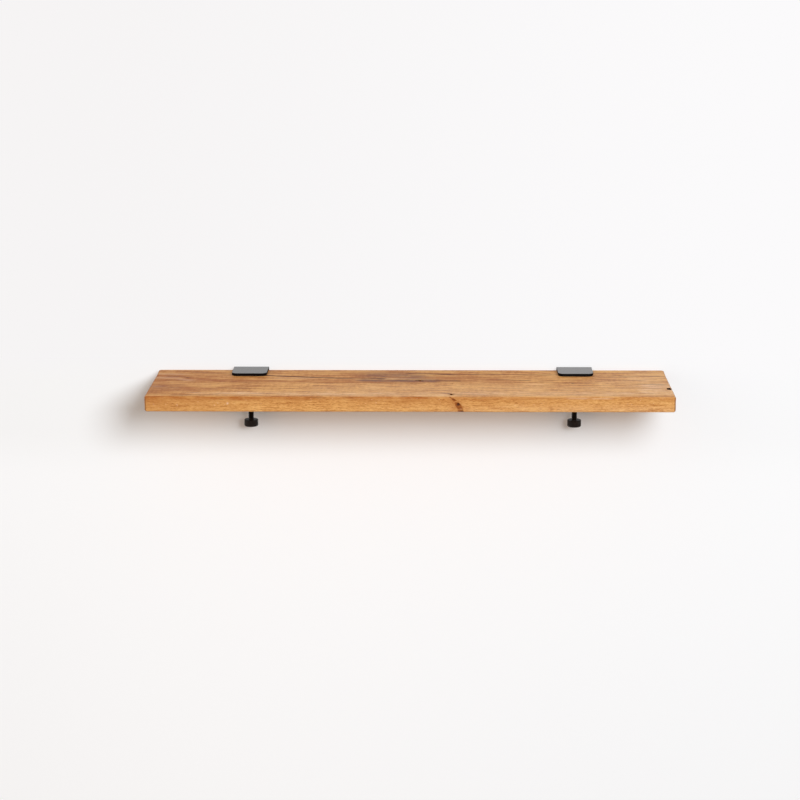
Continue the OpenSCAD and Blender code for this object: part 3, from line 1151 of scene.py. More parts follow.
MARKS = (
    *marks(
        Tone.DARK, Face.TOP,
        (((-425, 48), (-400, 52), (-392, 60)), 3.6, 9, 0.55),
        (((-388, 19.5), (-353, 24), (-317, 30)), 2.4, 8, 0.5),
        (((-421, 80), (-400, 86), (-379, 93)), 3.2, 10, 0.4),
        (((-256, 43), (-216, 51), (-195, 54), (-159, 59), (-106, 64), (-50, 68)), 3.2, 12, 0.85),
        (((-215, 52), (-185, 56)), 3.5, 8, 0.45),
        (((-312, 86), (-300, 90)), 5, 8, 0.3),
        (((-285, 95), (-262, 94)), 3, 8, 0.35),
        (((-360, 148), (-332, 148)), 2.5, 10, 0.35),
        (((-340, 139), (-296, 140), (-285, 138)), 2.5, 8, 0.4),
        (((-400, 191), (-364, 188), (-331, 182.5)), 2.6, 10, 0.5),
        (((10, 79.5), (21, 83)), 5.5, 3, 0.8),
        (((-16, 80), (-8, 82)), 4, 4, 0.35),
        (((33, 78), (38, 80)), 5, 4, 0.4),
        (((-3, 26.5), (34, 29), (66, 33)), 3, 8, 0.8),
        (((33, 29.5), (64, 32.5)), 3.4, 5, 0.5),
        (((66, 32), (158, 34.5), (225, 36), (257, 37)), 2.8, 14, 0.6),
        (((47, 80), (83, 82)), 8, 8, 0.5),
        (((157, 71), (204, 78.5)), 2.6, 8, 0.5),
        (((226, 88), (254, 93)), 2.4, 8, 0.5),
        (((280, 101), (284, 101.5)), 4.5, 2.5, 0.6),
        (((356, 45), (446, 46.5)), 2.2, 8, 0.6),
        (((66, 179), (71, 181.5), (74, 184)), 5, 3, 0.65),
        (((36, 143), (43, 143.5)), 3, 3, 0.35),
        (((-107, 167), (-95, 166.5)), 2, 3, 0.45),
    ),
    *marks(
        Tone.IRON, Face.TOP,
        (((-445, 128), (-404, 132)), 18, 12, 0.22),
        (((-78, 80), (-27, 83), (17, 83), (38, 83)), 9, 14, 0.85),
        (((-63, 40), (-20, 44), (10, 52)), 24, 24, 0.58),
        (((396, 104), (440, 110)), 5, 8, 0.4),
        (((58, 173.5), (66, 176)), 4.5, 4, 0.5),
        (((76, 184), (86, 186)), 4, 4, 0.4),
    ),
    *marks(
        Tone.RED, Face.TOP,
        # A broad redder tone over the left end: partly the wood's own tone, partly painted shade where
        # the light falls off.
        (((-450, 70), (-400, 60)), 110, 80, 0.3),
        (((-450, 43), (-421, 48), (-400, 53)), 5.5, 10, 0.75),
        (((-385, 66), (-350, 70)), 4, 14, 0.45),
        (((-356, 78), (-280, 83), (-210, 86), (-157, 91), (-105, 93), (-49, 95)), 6, 20, 0.5),
        (((-150, 9.5), (-40, 8.5)), 2.5, 20, 0.5),
        (((-433, 123), (-404, 130), (-379, 137)), 16, 14, 0.45),
        (((-450, 197), (-405, 198)), 3, 10, 0.6),
        (((56, 68), (135, 72)), 20, 28, 0.4),
        (((150, 72), (178, 80)), 12, 14, 0.35),
        (((365, 136), (430, 138)), 3, 12, 0.4),
    ),
    *marks(
        Tone.PALE, Face.TOP,
        (((395, 60), (450, 70)), 70, 70, 0.25),
        (((-100, 150), (400, 150)), 40, 80, 0.14),
        (((-450, 31), (-405, 35)), 4.5, 12, 0.6),
        (((-448, 60), (-415, 63), (-390, 80)), 8, 12, 0.55),
        (((-441, 127), (-430, 127)), 5, 4, 0.45),
        (((-366, 174), (-270, 175.5)), 3.2, 14, 0.35),
        (((-50, 66), (2, 64)), 2.5, 10, 0.5),
        (((414, 116), (446, 122)), 15, 12, 0.42),
        (((400, 150), (446, 160)), 26, 16, 0.28),
        (((-280, 178), (-150, 180), (0, 182), (150, 178), (300, 178), (380, 176)), 14, 60, 0.25),
        (((-228, 66), (-180, 66)), 4, 12, 0.3),
        (((205, 106), (230, 108)), 3, 10, 0.3),
    ),
    *marks(
        Tone.DARK, Face.FRONT,
        (((-322, 22.8), (-316, 22.2)), 1.4, 3, 0.4),
        (((-172, 25.4), (-143, 25.4)), 1.5, 5, 0.42),
        (((-112, 25.4), (-97, 25.4)), 1.3, 4, 0.35),
        (((98, 25.2), (106, 25.2)), 1.3, 3, 0.42),
        (((113, 24.5), (121, 24.7)), 1.3, 3, 0.38),
        (((212, 24.6), (258, 24.6)), 1.1, 5, 0.32),
    ),
    *marks(
        Tone.RED, Face.FRONT,
        (((-445, 22), (-430, 25)), 3.5, 7, 0.5),
        (((-50, 25.4), (-33, 25.4)), 1.6, 4, 0.55),
        (((-8, 25), (26, 25)), 2, 8, 0.6),
        (((-60, 20), (30, 19)), 4, 20, 0.22),
    ),
    *marks(
        Tone.PALE, Face.FRONT,
        (((271, 25), (296, 25)), 1.6, 6, 0.35),
        (((312, 24.5), (338, 24.5)), 1.5, 5, 0.3),
        # Two tiny pale spots on the front: painted glints, like the oak's glint noise.
        (((-309, 15.3), (-307.8, 15.3)), 1.7, 0.8, 1.0),
        (((-394.6, 12.5), (-393.4, 12.5)), 1.5, 0.8, 0.8),
    ),
)

NAIL_HOLES = (
    NailHole(16.5, 81, 1.9, 3.6, 5),
    NailHole(70.7, 181.8, 2.3, 3.8, 6),
    NailHole(445.4, 138.5, 4.2, 6.4, 6),
)


def add_tone(stain_and_shade: np.ndarray, tone: Tone, amount: np.ndarray) -> None:
    """Adds an amount to one of the tones, less where it is strong already."""
    stain_and_shade[:, tone.value] += amount * (1 - stain_and_shade[:, tone.value])


def cover(stain_and_shade: np.ndarray, tone: Tone, amount: np.ndarray) -> None:
    """Makes one of the tones at least as strong as an amount."""
    stain_and_shade[:, tone.value] = np.maximum(stain_and_shade[:, tone.value], amount)


@dataclass
class Board:
    """The oak board: one plank with soft edges, old nail holes, stains and a spike knot in front.

    Its sizes are in millimetres, and its places are along from its middle, forward from its back
    edge and up from its underside.
    """

    finish: Material
    edge_round: float = 3.0
    back_round: float = 1.5
    corner_round: float = 5.0
    length_pitch: float = 5.0
    depth_pitch: float = 2.4
    height_pitch: float = 1.5
    fine_spots: tuple[tuple[float, float], ...] = ((78, 12), (-308.3, 2), (-394, 2))
    fine_pitch: float = 1.3
    wear: float = 0.45
    hollows: float = 0.22
    ring_width: float = 4.6
    pith_behind: float = 150.0
    pith_below: float = 160.0
    grain_slope: float = 0.032
    front_detail: float = 0.8
    grain_radius: float = 300.0
    grain_unit: float = 100.0
    knot_spread: float = 24.0
    knot_lift: float = 9.0
    knot_pit: tuple[float, float] = (82.6, 14.2)
    pit_depth: float = 1.5
    dull_from: float = 99.0
    dull_slope: float = 0.006
    dull_blur: float = 1.5

    def __post_init__(self) -> None:
        """Takes the plank's place and size from the frame."""
        self.low, self.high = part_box("board")
        self.length, self.depth, self.thick = (self.high - self.low) / MM

    def build(self) -> None:
        """Makes the plank and hands it over."""
        flat, faces = block_skin(self.cuts())
        size = np.array([self.length, self.depth, self.thick])
        forward = self.depth - flat[:, 1:2]
        extra = self.edge_round - self.back_round
        rounding = self.back_round + extra * smooth_step(forward, 4, 40)
        inner = np.clip(flat, rounding, size - rounding)
        outward = flat - inner
        outward /= np.linalg.norm(outward, axis=1, keepdims=True)
        round_block, outward = self.rounded_in_plan(inner + outward * rounding, outward)
        self.at = self.own_terms(round_block)
        shaped = self.worn(round_block, outward)

        piece = new_piece("oak_board", shaped * MM + np.array(self.low), (), faces)
        piece.data.materials.append(self.finish)
        piece.data.shade_smooth()
        self.paint(piece.data, outward)
        hand_over(piece, "shelf", "oak", "board")

    def cuts(self) -> tuple[np.ndarray, np.ndarray, np.ndarray]:
        """Where the plank is cut: closer together at its edges, nail holes and knot.

        Returns:
            The places of the cuts along X, Y and Z.
        """
        edge, corner, middle = self.edge_round, self.corner_round, self.length / 2
        x_spots = [(0, corner, 0.9), (self.length, corner, 0.9)]
        y_spots = [(0, edge, 0.7), (self.depth, self.back_round, 0.4)]
        z_spots = [(0, edge, 0.6), (self.thick, edge, 0.6), (22, 5, 0.75), (self.knot_pit[1], 1.5, 0.9)]
        for hole in NAIL_HOLES:
            x_spots.append((hole.along + middle, hole.half_length * 1.5, 0.7))
            y_spots.append((self.depth - hole.forward, hole.half_width * 1.4, 0.9))
        x_spots += [(along + middle, half, self.fine_pitch) for along, half in self.fine_spots]
        return (
            cut_places(self.length, self.length_pitch, x_spots),
            cut_places(self.depth, self.depth_pitch, y_spots),
            cut_places(self.thick, self.height_pitch, z_spots),
        )

    def rounded_in_plan(self, points: np.ndarray, outward: np.ndarray) -> tuple[np.ndarray, np.ndarray]:
        """Rounds the block's four upright corners, as seen from above.

        Args:
            points: The block's points.
            outward: The direction away from the wood at each.

        Returns:
            The moved points and their turned directions.
        """
        size = np.array([self.length, self.depth])
        centre = np.clip(points[:, :2], self.corner_round, size - self.corner_round)
        arm = points[:, :2] - centre
        reach = np.abs(arm).max(axis=1, keepdims=True)
        length = np.linalg.norm(arm, axis=1, keepdims=True)
        in_corner = np.abs(arm).min(axis=1, keepdims=True) > 1e-6
        way = arm / np.maximum(length, 1e-9)
        moved = points.copy()
        moved[:, :2] = np.where(in_corner, centre + way * reach, points[:, :2])
        turned = outward.copy()
        level = np.linalg.norm(outward[:, :2], axis=1, keepdims=True)
        turned[:, :2] = np.where(in_corner, way * level, outward[:, :2])
        return moved, turned

    def own_terms(self, points: np.ndarray) -> np.ndarray:
        """The block's points as marks give them: along from its middle, forward, and up."""
        along = points[:, 0] - self.length / 2
        return np.stack([along, self.depth - points[:, 1], points[:, 2]], axis=1)

    def knot_line(self, up: np.ndarray) -> tuple[np.ndarray, np.ndarray]:
        """The line of the spike knot in the front face.

        Args:
            up: The heights at which it is wanted.

        Returns:
            The knot's middle along the board and its half width, at each height.
        """
        heights = (3, 4.7, 8.1, 11.6, 15, 18.5, 21, 23.7, 26.2)
        return (
            np.interp(up, heights, (86.5, 86, 84.4, 82.8, 81, 78.3, 75.7, 73.7, 68.5)),
            np.interp(up, heights, (4.6, 4.6, 5.2, 4.8, 4.4, 3.4, 2.7, 2.5, 2.0)),
        )

    def worn(self, points: np.ndarray, outward: np.ndarray) -> np.ndarray:
        """Wears the block: soft hollows, rubbed edges, nail holes and the knot's pit.

        Args:
            points: The block's points.
            outward: The direction away from the wood at each.

        Returns:
            The worn points, none of which lies outside the block.
        """
        edge_share = 1 - np.abs(outward).max(axis=1)
        hollow = self.hollows * (0.5 + 0.5 * Noise.HOLLOWS.at(points))
        rubbed = self.wear * smooth_step(edge_share, 0.0, 0.25) * (
            0.5 + 0.35 * Noise.RUBBING.at(points) + 0.15 * Noise.DENTS.at(points)
        )
        along, forward, up = self.at.T
        sheltered = smooth_step(forward, 3, 40)
        shaped = points - outward * ((hollow + rubbed) * sheltered)[:, None]
        for hole in NAIL_HOLES:
            reach = np.clip((up - (self.thick - 2 * hole.depth)) / (2 * hole.depth), 0, 1)
            shaped[:, 2] -= hole.depth * hole.amount(along, forward) * reach
        pit_x, pit_z = self.knot_pit
        pit = smooth_step(-np.hypot((along - pit_x) / 1.3, (up - pit_z) / 1.5), -1.3, -0.6)
        shaped[:, 1] += self.pit_depth * pit * smooth_step(forward, self.depth - 6, self.depth - 1)
        return shaped

    def rings(self) -> np.ndarray:
        """Counts the year rings, which bend around the knot.

        Returns:
            How many lie between the tree's pith and each point.
        """
        along, forward, up = self.at.T
        radius = np.hypot(forward + self.pith_behind, up + self.pith_below)
        for depth, noise in ((7.0, Noise.BOWS), (2.0, Noise.WAVES), (0.5, Noise.RIPPLES)):
            radius += depth * noise.at(self.at)
        radius -= self.grain_slope * along
        middle, _ = self.knot_line(up)
        near_front = smooth_step(forward, self.depth - 40, self.depth)
        radius -= self.knot_lift * near_front * np.exp(-np.abs(along - middle) / self.knot_spread)
        return radius / self.ring_width

    def paint(self, mesh: bpy.types.Mesh, outward: np.ndarray) -> None:
        """Stores what the oak's shader reads: grain, stains with some painted shade, and end grain,
        front or calm grain.

        Args:
            mesh: The plank's mesh.
            outward: The direction away from the wood at each point.
        """
        along, forward, up = self.at.T
        angle = np.arctan2(up + self.pith_below, forward + self.pith_behind)
        around = angle * self.grain_radius + self.front_detail * up
        grain = [along / self.grain_unit, self.rings(), around / self.grain_unit]
        end = smooth_step(np.abs(outward[:, 0]), 0.35, 0.85)
        calm = smooth_step(forward + 6 * Noise.CALM_EDGE.at(self.at), 85, 110)
        facing = [end, smooth_step(-outward[:, 1], 0.3, 0.9), calm]
        for name, kind, field, values in (
            ("grain", "FLOAT_VECTOR", "vector", np.stack(grain, axis=1)),
            ("stain_and_shade", "FLOAT_COLOR", "color", self.stains_and_shade(outward)),
            ("facing", "FLOAT_VECTOR", "vector", np.stack(facing, axis=1)),
        ):
            layer = mesh.attributes.new(name, kind, "POINT")
            layer.data.foreach_set(field, values.astype(np.float32).ravel())

    def stains_and_shade(self, outward: np.ndarray) -> np.ndarray:
        """How much of each tone lies at each point.

        Args:
            outward: The direction away from the wood at each point.

        Returns:
            Four shares for each point, in the order of Tone.
        """
        along, forward, up = self.at.T
        wander = 1.6 * Noise.WANDER.at(self.at)
        ragged = 0.35 * Noise.RAGS.at(self.at) + 0.25 * Noise.TEARS.at(self.at)
        on_top = smooth_step(outward[:, 2], 0.15, 0.7)
        on_front = smooth_step(-outward[:, 1], 0.15, 0.7)
        faces = {Face.TOP: (forward + wander, on_top), Face.FRONT: (up + 0.3 * wander, on_front)}
        stain_and_shade = np.zeros((len(along), len(Tone)))
        for mark in MARKS:
            across, on_face = faces[mark.face]
            add_tone(stain_and_shade, mark.tone, mark.amount(along, across, ragged) * on_face)

        edge = self.dull_from - self.dull_slope * along - (forward + wander)
        behind = smooth_step(edge, -self.dull_blur, self.dull_blur) * on_top
        add_tone(stain_and_shade, Tone.RED, 0.22 * behind * (1 - 0.65 * smooth_step(along, 120, 330)))

        # The front face grows redder toward its top edge and paler toward its bottom, and its reds
        # weaken and it grows paler toward the right end.
        less_to_right = 1 - 0.6 * smooth_step(along, 230, 400)
        rim = (0.22 - 0.1 * smooth_step(along, -250, 50)) * smooth_step(up, 20, 24.5)
        add_tone(stain_and_shade, Tone.RED, (0.18 * smooth_step(up, 4, 24) + rim) * on_front * less_to_right)
        blotch = smooth_step(Noise.BLOTCHES.at(self.at), 0.0, 0.6)
        add_tone(stain_and_shade, Tone.RED, 0.38 * blotch * less_to_right * smooth_step(up, 17, 23) * on_front)
        # Redder toward the left end of the front: partly the wood's tone, partly painted shade where
        # the light falls off.
        add_tone(stain_and_shade, Tone.RED, 0.2 * (1 - smooth_step(along, -430, -250)) * on_front)
        lighter = 0.02 + 0.12 * smooth_step(along, -150, 350)
        stain_and_shade[:, Tone.PALE.value] += lighter * (1 - smooth_step(up, 1, 22)) * on_front

        self.add_knot(stain_and_shade, on_front)
        # Inside each nail hole the dark tone is pushed past 1: painted shade.
        for hole in NAIL_HOLES:
            below = smooth_step(up, self.thick - 2 * hole.depth, self.thick - 1)
            inside = hole.amount(along, forward) * below
            cover(stain_and_shade, Tone.DARK, 1.8 * np.minimum(4 * inside, 1))
        return stain_and_shade

    def add_knot(self, stain_and_shade: np.ndarray, on_front: np.ndarray) -> None:
        """Adds the spike knot's tones to the front face.

        Args:
            stain_and_shade: The stains, which change.
            on_front: How much each point belongs to the front face.
        """
        along, _, up = self.at.T
        middle, half = self.knot_line(up)
        off = np.abs(along - middle + 0.5 * Noise.KNOT_EDGE.at(self.at)) / half
        gaps = 0.75 * np.exp(-(((up - 18.4) / 1.1) ** 2)) + 0.6 * np.exp(-(((up - 25) / 0.7) ** 2))
        body = smooth_step(-off, -1.5, -0.6) * (1 - gaps) * on_front
        around = 0.34 * np.exp(-(((along - middle + 4) / 15) ** 2)) * on_front
        foot = body * smooth_step(-up, -7, -1)
        pit_x, pit_z = self.knot_pit
        pit = np.exp(-(((along - pit_x) / 1.7) ** 2) - ((up - pit_z) / 1.7) ** 2) * on_front
        cover(stain_and_shade, Tone.RED, np.maximum(0.95 * body, around))
        right_half = smooth_step(along - middle, -2, 2)
        cover(stain_and_shade, Tone.DARK, 0.38 * body + 0.3 * foot * right_half + 0.8 * pit)


def softened_copy(node: str, name: str, softness: float, finish: Material) -> Piece:
    """A copy of a CAD node with its edges softened.

    Args:
        node: The node.
        name: The new piece's name.
        softness: How wide its edges are rounded.
        finish: Its material.

    Returns:
        The piece.
    """
    piece = new_piece(name)
    piece.data = frame["nodes"][node].data.copy()
    piece.data.name = name
    piece.data.materials.clear()
    piece.data.materials.append(finish)
    weld = piece.modifiers.new("merged", "WELD")
    weld.merge_threshold = MERGE_GAP
    flat = piece.modifiers.new("flat_faces_joined", "DECIMATE")
    flat.decimate_type = "DISSOLVE"
    flat.angle_limit = math.radians(0.5)
    bake_modifiers(piece)
    soften(piece, softness, 2)
    shade(piece)
    return piece


@dataclass
class ClampHalf:
    """What both halves of one clamp share: its side, the finishes and the tree that turns pieces."""

    side: Side
    finishes: dict[str, Material]
    turned: TurnedRecipe

    def box(self, part: str) -> tuple[Vector, Vector]:
        """The lowest and highest corner of one of this side's CAD nodes."""
        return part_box(self.side.named(part))

    def turn(
        self, name: str, node: str, body: str, slot: str, profile: Profile,
        **sizes: Any,
    ) -> None:
        """Turns a profile into one of this side's pieces and hands it over.

        Args:
            name: The piece's name without its side.
            node: The CAD node that it stands for, without its side.
            body: The body that it rides on.
            slot: The record's slot of its finish.
            profile: The radius and height of each point of the profile, in metres.
            sizes: Values for the recipe's inputs, with underscores for the spaces in their names.
        """
        given = {size.replace("_", " "): value for size, value in sizes.items()}
        piece = self.turned.make(self.side.named(name), profile, self.finishes[slot], self.axis, given)
        hand_over(piece, body, slot, self.side.named(node))

    def soften_node(self, name: str, node: str, body: str, slot: str, softness: float) -> None:
        """Softens a copy of one of this side's CAD nodes and hands it over.

        Args:
            name: The piece's name without its side.
            node: The CAD node that it stands for, without its side.
            body: The body that it rides on.
            slot: The record's slot of its finish.
            softness: How wide its edges are rounded.
        """
        own = self.side.named(node)
        piece = softened_copy(own, self.side.named(name), softness, self.finishes[slot])
        hand_over(piece, body, slot, own)


@dataclass
class ClampBracket(ClampHalf):
    """One clamp bracket: the bent and drilled strip, its liner and the welded nut."""

    strip: BentStripRecipe
    drill: DrillRecipe
    weld: WeldRecipe
    bend_radius: float = 1.5 * MM
    corner_radius: float = 10 * MM
    edge_softness: float = 0.4 * MM
    liner_softness: float = 0.25 * MM
    countersink: float = 11 * MM
    collar_diameter: float = 12.5 * MM
    nut_chamfer: float = 1 * MM
    nut_facets: int = 96
    bore_chamfer: float = 0.7 * MM
    seat_gap: float = 0.1 * MM
    turn_gap: float = 0.05 * MM
    bead_radius: float = 1.3 * MM
    bead_length: float = 7.5 * MM
    bead_ripples: float = 9.0
    bead_off: float = 0.3 * MM
    level_from: float = 0.97
    side_from: float = 0.2

    def __post_init__(self) -> None:
        """Takes the bracket's sizes from the frame."""
        self.low, self.high = self.box("bracket")
        self.middle_x = (self.low.x + self.high.x) / 2
        self.thick = self.high.z - self.box("liner")[1].z
        self.nut_low, self.nut_high = self.box("clamp_nut")
        self.flats = self.nut_high.y - self.nut_low.y
        self.axis = (self.middle_x, (self.nut_low.y + self.nut_high.y) / 2)
        screw_low, screw_high = self.box("clamp_screw")
        self.screw_radius = (screw_high.x - screw_low.x) / 2
        holes = next(m for m in frame["record"]["mounts"] if m["kind"] == "bolt_pattern")
        self.hole = 2 * holes["dims"]["hole_r_mm"] * MM
        self.hole_spacing = holes["dims"]["spacing_y_mm"] * MM

    def build(self) -> None:
        """Makes the bracket's pieces and hands them over."""
        self.build_strip()
        self.soften_node("rubber_liner", "liner", "shelf", "rubber", self.liner_softness)
        self.build_nut()
        self.build_weld()

    def build_strip(self) -> None:
        """Bends, softens and drills the steel strip."""
        piece = new_piece(self.side.named("steel_bracket"))
        shared = {
            "Middle X": self.middle_x,
            "Thickness": self.thick,
            "Finish": self.finishes["powder_coat"],
        }
        self.strip.use_on(piece, {
            **shared,
            "Width": self.high.x - self.low.x,
            "Top": self.high.z,
            "Height": self.high.z - self.low.z,
            "Upper Reach": self.high.y - self.low.y,
            "Lower Reach": self.high.y - self.low.y,
            "Bend Radius": self.bend_radius,
            "Corner Radius": self.corner_radius,
        })
        soften(piece, self.edge_softness)
        self.drill.use_on(piece, {
            **shared,
            "Wall Hole Diameter": self.hole,
            "Countersink Diameter": self.countersink,
            "Wall Hole Spacing": self.hole_spacing,
            "Arm Hole Diameter": self.collar_diameter + 2 * self.seat_gap,
            "Screw Axis Y": self.axis[1],
            "Arm Middle Z": self.low.z + self.thick / 2,
        })
        bake_modifiers(piece)
        shade(piece)
        self.coat_and_shade_cut_edges(piece)
        hand_over(piece, "shelf", "powder_coat", self.side.named("bracket"))

    def coat_and_shade_cut_edges(self, piece: Piece) -> None:
        """Gives the strip's cut edges their duller coat, whose darker colour is painted shade.

        Args:
            piece: The bent strip, which has its own coat already.
        """
        piece.data.materials.append(self.finishes["cut_edge_shaded_coat"])
        cut_slot = len(piece.data.materials) - 1
        side = (self.high.x - self.low.x) / 2 - 1.5 * self.edge_softness
        tip = self.low.y + self.corner_radius
        for face in piece.data.polygons:
            at_side = abs(face.center.x - self.middle_x) > side and abs(face.normal.x) > self.side_from
            # Side and tip faces, picked by their facing, get the darker copy: painted shade.
            if abs(face.normal.z) < self.level_from and (face.center.y < tip or at_side):
                face.material_index = cut_slot

    def build_nut(self) -> None:
        """Turns the nut and its collar, and cuts its flats and chamfer."""
        low, high = self.nut_low.z, self.nut_high.z
        corner = (self.nut_high.x - self.nut_low.x) / 2
        collar = self.collar_diameter / 2
        bore = self.screw_radius + self.turn_gap
        seat = self.low.z + self.thick
        chamfer_run = self.nut_chamfer / math.tan(math.radians(30))
        profile = rounded_line([
            (bore, low, 0),
            (collar, low, 0.2 * MM),
            (collar, seat, 0),
            (corner, seat, 0.3 * MM),
            (corner, high - self.nut_chamfer, 0),
            (corner - chamfer_run, high, 0.2 * MM),
            (bore + self.bore_chamfer, high, 0),
            (bore, high - self.bore_chamfer, 0),
            (bore, low, 0),
        ])
        self.turn(
            "hex_nut", "clamp_nut", "shelf", "black_oxide", profile,
            Flats=self.flats, Steps=self.nut_facets,
        )

    def build_weld(self) -> None:
        """Lays the weld beads that hold the nut on the lower arm."""
        piece = new_piece(self.side.named("nut_weld"))
        self.weld.use_on(piece, {
            "Middle X": self.middle_x,
            "Middle Y": self.axis[1],
            "Base": self.low.z + self.thick + self.bead_off,
            "Flats": self.flats + 2 * self.bead_off,
            "Bead Radius": self.bead_radius,
            "Bead Length": self.bead_length,
            "Ripples": self.bead_ripples,
            "Finish": self.finishes["powder_coat"],
        })
        bake_modifiers(piece)
        piece.data.shade_smooth()
        hand_over(piece, "shelf", "powder_coat")


@dataclass
class ClampScrew(ClampHalf):
    """One clamp screw with its knob below, and the swivel foot with its pad above."""

    thread_pitch: float = 1.5 * MM
    thread_depth: float = 0.8 * MM
    rows_per_turn: int = 8
    screw_facets: int = 56
    neck_radius: float = 3.5 * MM
    hub_radius: float = 9 * MM
    flange_thick: float = 3 * MM
    recess_radius: float = 7 * MM
    recess_depth: float = 2.25 * MM
    foot_facets: int = 96
    turn_gap: float = 0.05 * MM
    grip_count: int = 30
    grip_facets: int = 8
    grip_depth: float = 0.5 * MM
    grip_share: float = 0.6
    dish_radius: float = 8.55 * MM
    dish_depth: float = 0.8 * MM
    socket_lead: float = 0.4 * MM
    pad_grooves: tuple[float, ...] = (10.5 * MM, 7.0 * MM, 3.5 * MM)
    groove_half: float = 0.5 * MM
    groove_depth: float = 0.5 * MM
    pad_facets: int = 72
    ring_softness: float = 0.12 * MM

    def __post_init__(self) -> None:
        """Takes the places from the frame."""
        self.low, self.high = self.box("clamp_screw")
        self.axis = ((self.low.x + self.high.x) / 2, (self.low.y + self.high.y) / 2)
        self.shank = (self.high.x - self.low.x) / 2
        self.shank_bottom = self.box("knob")[1].z
        self.shank_top = self.box("pressure_foot")[0].z

    def measured(self, part: str) -> Triple:
        """The lowest and highest level of one of this side's CAD nodes, and its radius."""
        low, high = self.box(part)
        return low.z, high.z, (high.x - low.x) / 2

    def build(self) -> None:
        """Makes the screw's pieces and hands them over."""
        screw_body = self.side.named("screw")
        foot_body = self.side.named("foot")
        self.turn(
            "threaded_screw", "clamp_screw", screw_body, "black_oxide", self.screw_profile(),
            Steps=self.screw_facets, Thread_Depth=self.thread_depth, Thread_Pitch=self.thread_pitch,
            Thread_Bottom=self.shank_bottom, Thread_Top=self.shank_top,
        )
        self.turn(
            "grip_knob", "knob", screw_body, "knob_plastic", self.knob_profile(),
            Steps=self.grip_count * self.grip_facets, Grooves=float(self.grip_count),
            Groove_Depth=self.grip_depth, Groove_Share=self.grip_share,
            Rim_Radius=self.measured("knob")[2],
        )
        self.turn(
            "swivel_foot", "pressure_foot", foot_body, "black_oxide", self.foot_profile(),
            Steps=self.foot_facets,
        )
        self.turn(
            "rubber_pad", "foot_pad", foot_body, "rubber", self.pad_profile(), Steps=self.pad_facets
        )
        self.soften_node("snap_ring", "retaining_clip", screw_body, "black_oxide", self.ring_softness)

    def screw_profile(self) -> Profile:
        """The shank, with rows enough for its thread, and the neck that carries the foot.

        Returns:
            The points of the profile.
        """
        bottom, top, shank = self.shank_bottom, self.shank_top, self.shank
        count = round((top - bottom) / self.thread_pitch * self.rows_per_turn)
        rows = [(shank, bottom + (top - bottom) * i / count) for i in range(count + 1)]
        neck = rounded_line([
            (shank, top, 0),
            (self.neck_radius, top, 0),
            (self.neck_radius, self.high.z, 0.4 * MM),
            (0, self.high.z, 0),
        ])[1:]
        return [(0, self.low.z), (shank, self.low.z), *rows, *neck]

    def knob_profile(self) -> Profile:
        """The knob with its dish below and the socket for the screw above.

        Returns:
            The points of the profile.
        """
        low, high, rim = self.measured("knob")
        return rounded_line([
            (0, low + self.dish_depth, 0),
            (self.dish_radius, low + self.dish_depth, 0.3 * MM),
            (self.dish_radius, low, 0.3 * MM),
            (rim, low, 1.7 * MM),
            *((rim, low + (high - low) * share, 0) for share in (0.25, 0.5, 0.75)),
            (rim, high, 1.1 * MM),
            (self.shank + 3 * self.socket_lead, high, 0),
            (self.shank, high - self.socket_lead, 0),
            (self.shank, self.low.z, 0),
            (0, self.low.z, 0),
        ])

    def foot_profile(self) -> Profile:
        """The pressure foot: hub, flange, and the recess for the ring.

        Returns:
            The points of the profile.
        """
        low, high, rim = self.measured("pressure_foot")
        bore = self.neck_radius + self.turn_gap
        step = high - self.flange_thick
        floor = high - self.recess_depth
        return rounded_line([
            (bore, low, 0),
            (self.hub_radius, low, 0.6 * MM),
            (self.hub_radius, step, 0.5 * MM),
            (rim, step, 0.6 * MM),
            (rim, high, 0.5 * MM),
            (self.recess_radius, high, 0.15 * MM),
            (self.recess_radius, floor, 0.2 * MM),
            (bore, floor, 0),
            (bore, low, 0),
        ])

    def pad_profile(self) -> Profile:
        """The rubber pad, with round grip grooves in its top.

        Returns:
            The points of the profile.
        """
        low, high, rim = self.measured("foot_pad")
        floor = high - self.groove_depth
        corners = [(0, low, 0), (rim, low, 0.15 * MM), (rim, high, 0.35 * MM)]
        for middle in self.pad_grooves:
            outer, inner = middle + self.groove_half, middle - self.groove_half
            corners += [(outer, high, 0), (outer, floor, 0), (inner, floor, 0), (inner, high, 0)]
        corners.append((0, high, 0))
        return rounded_line(corners)


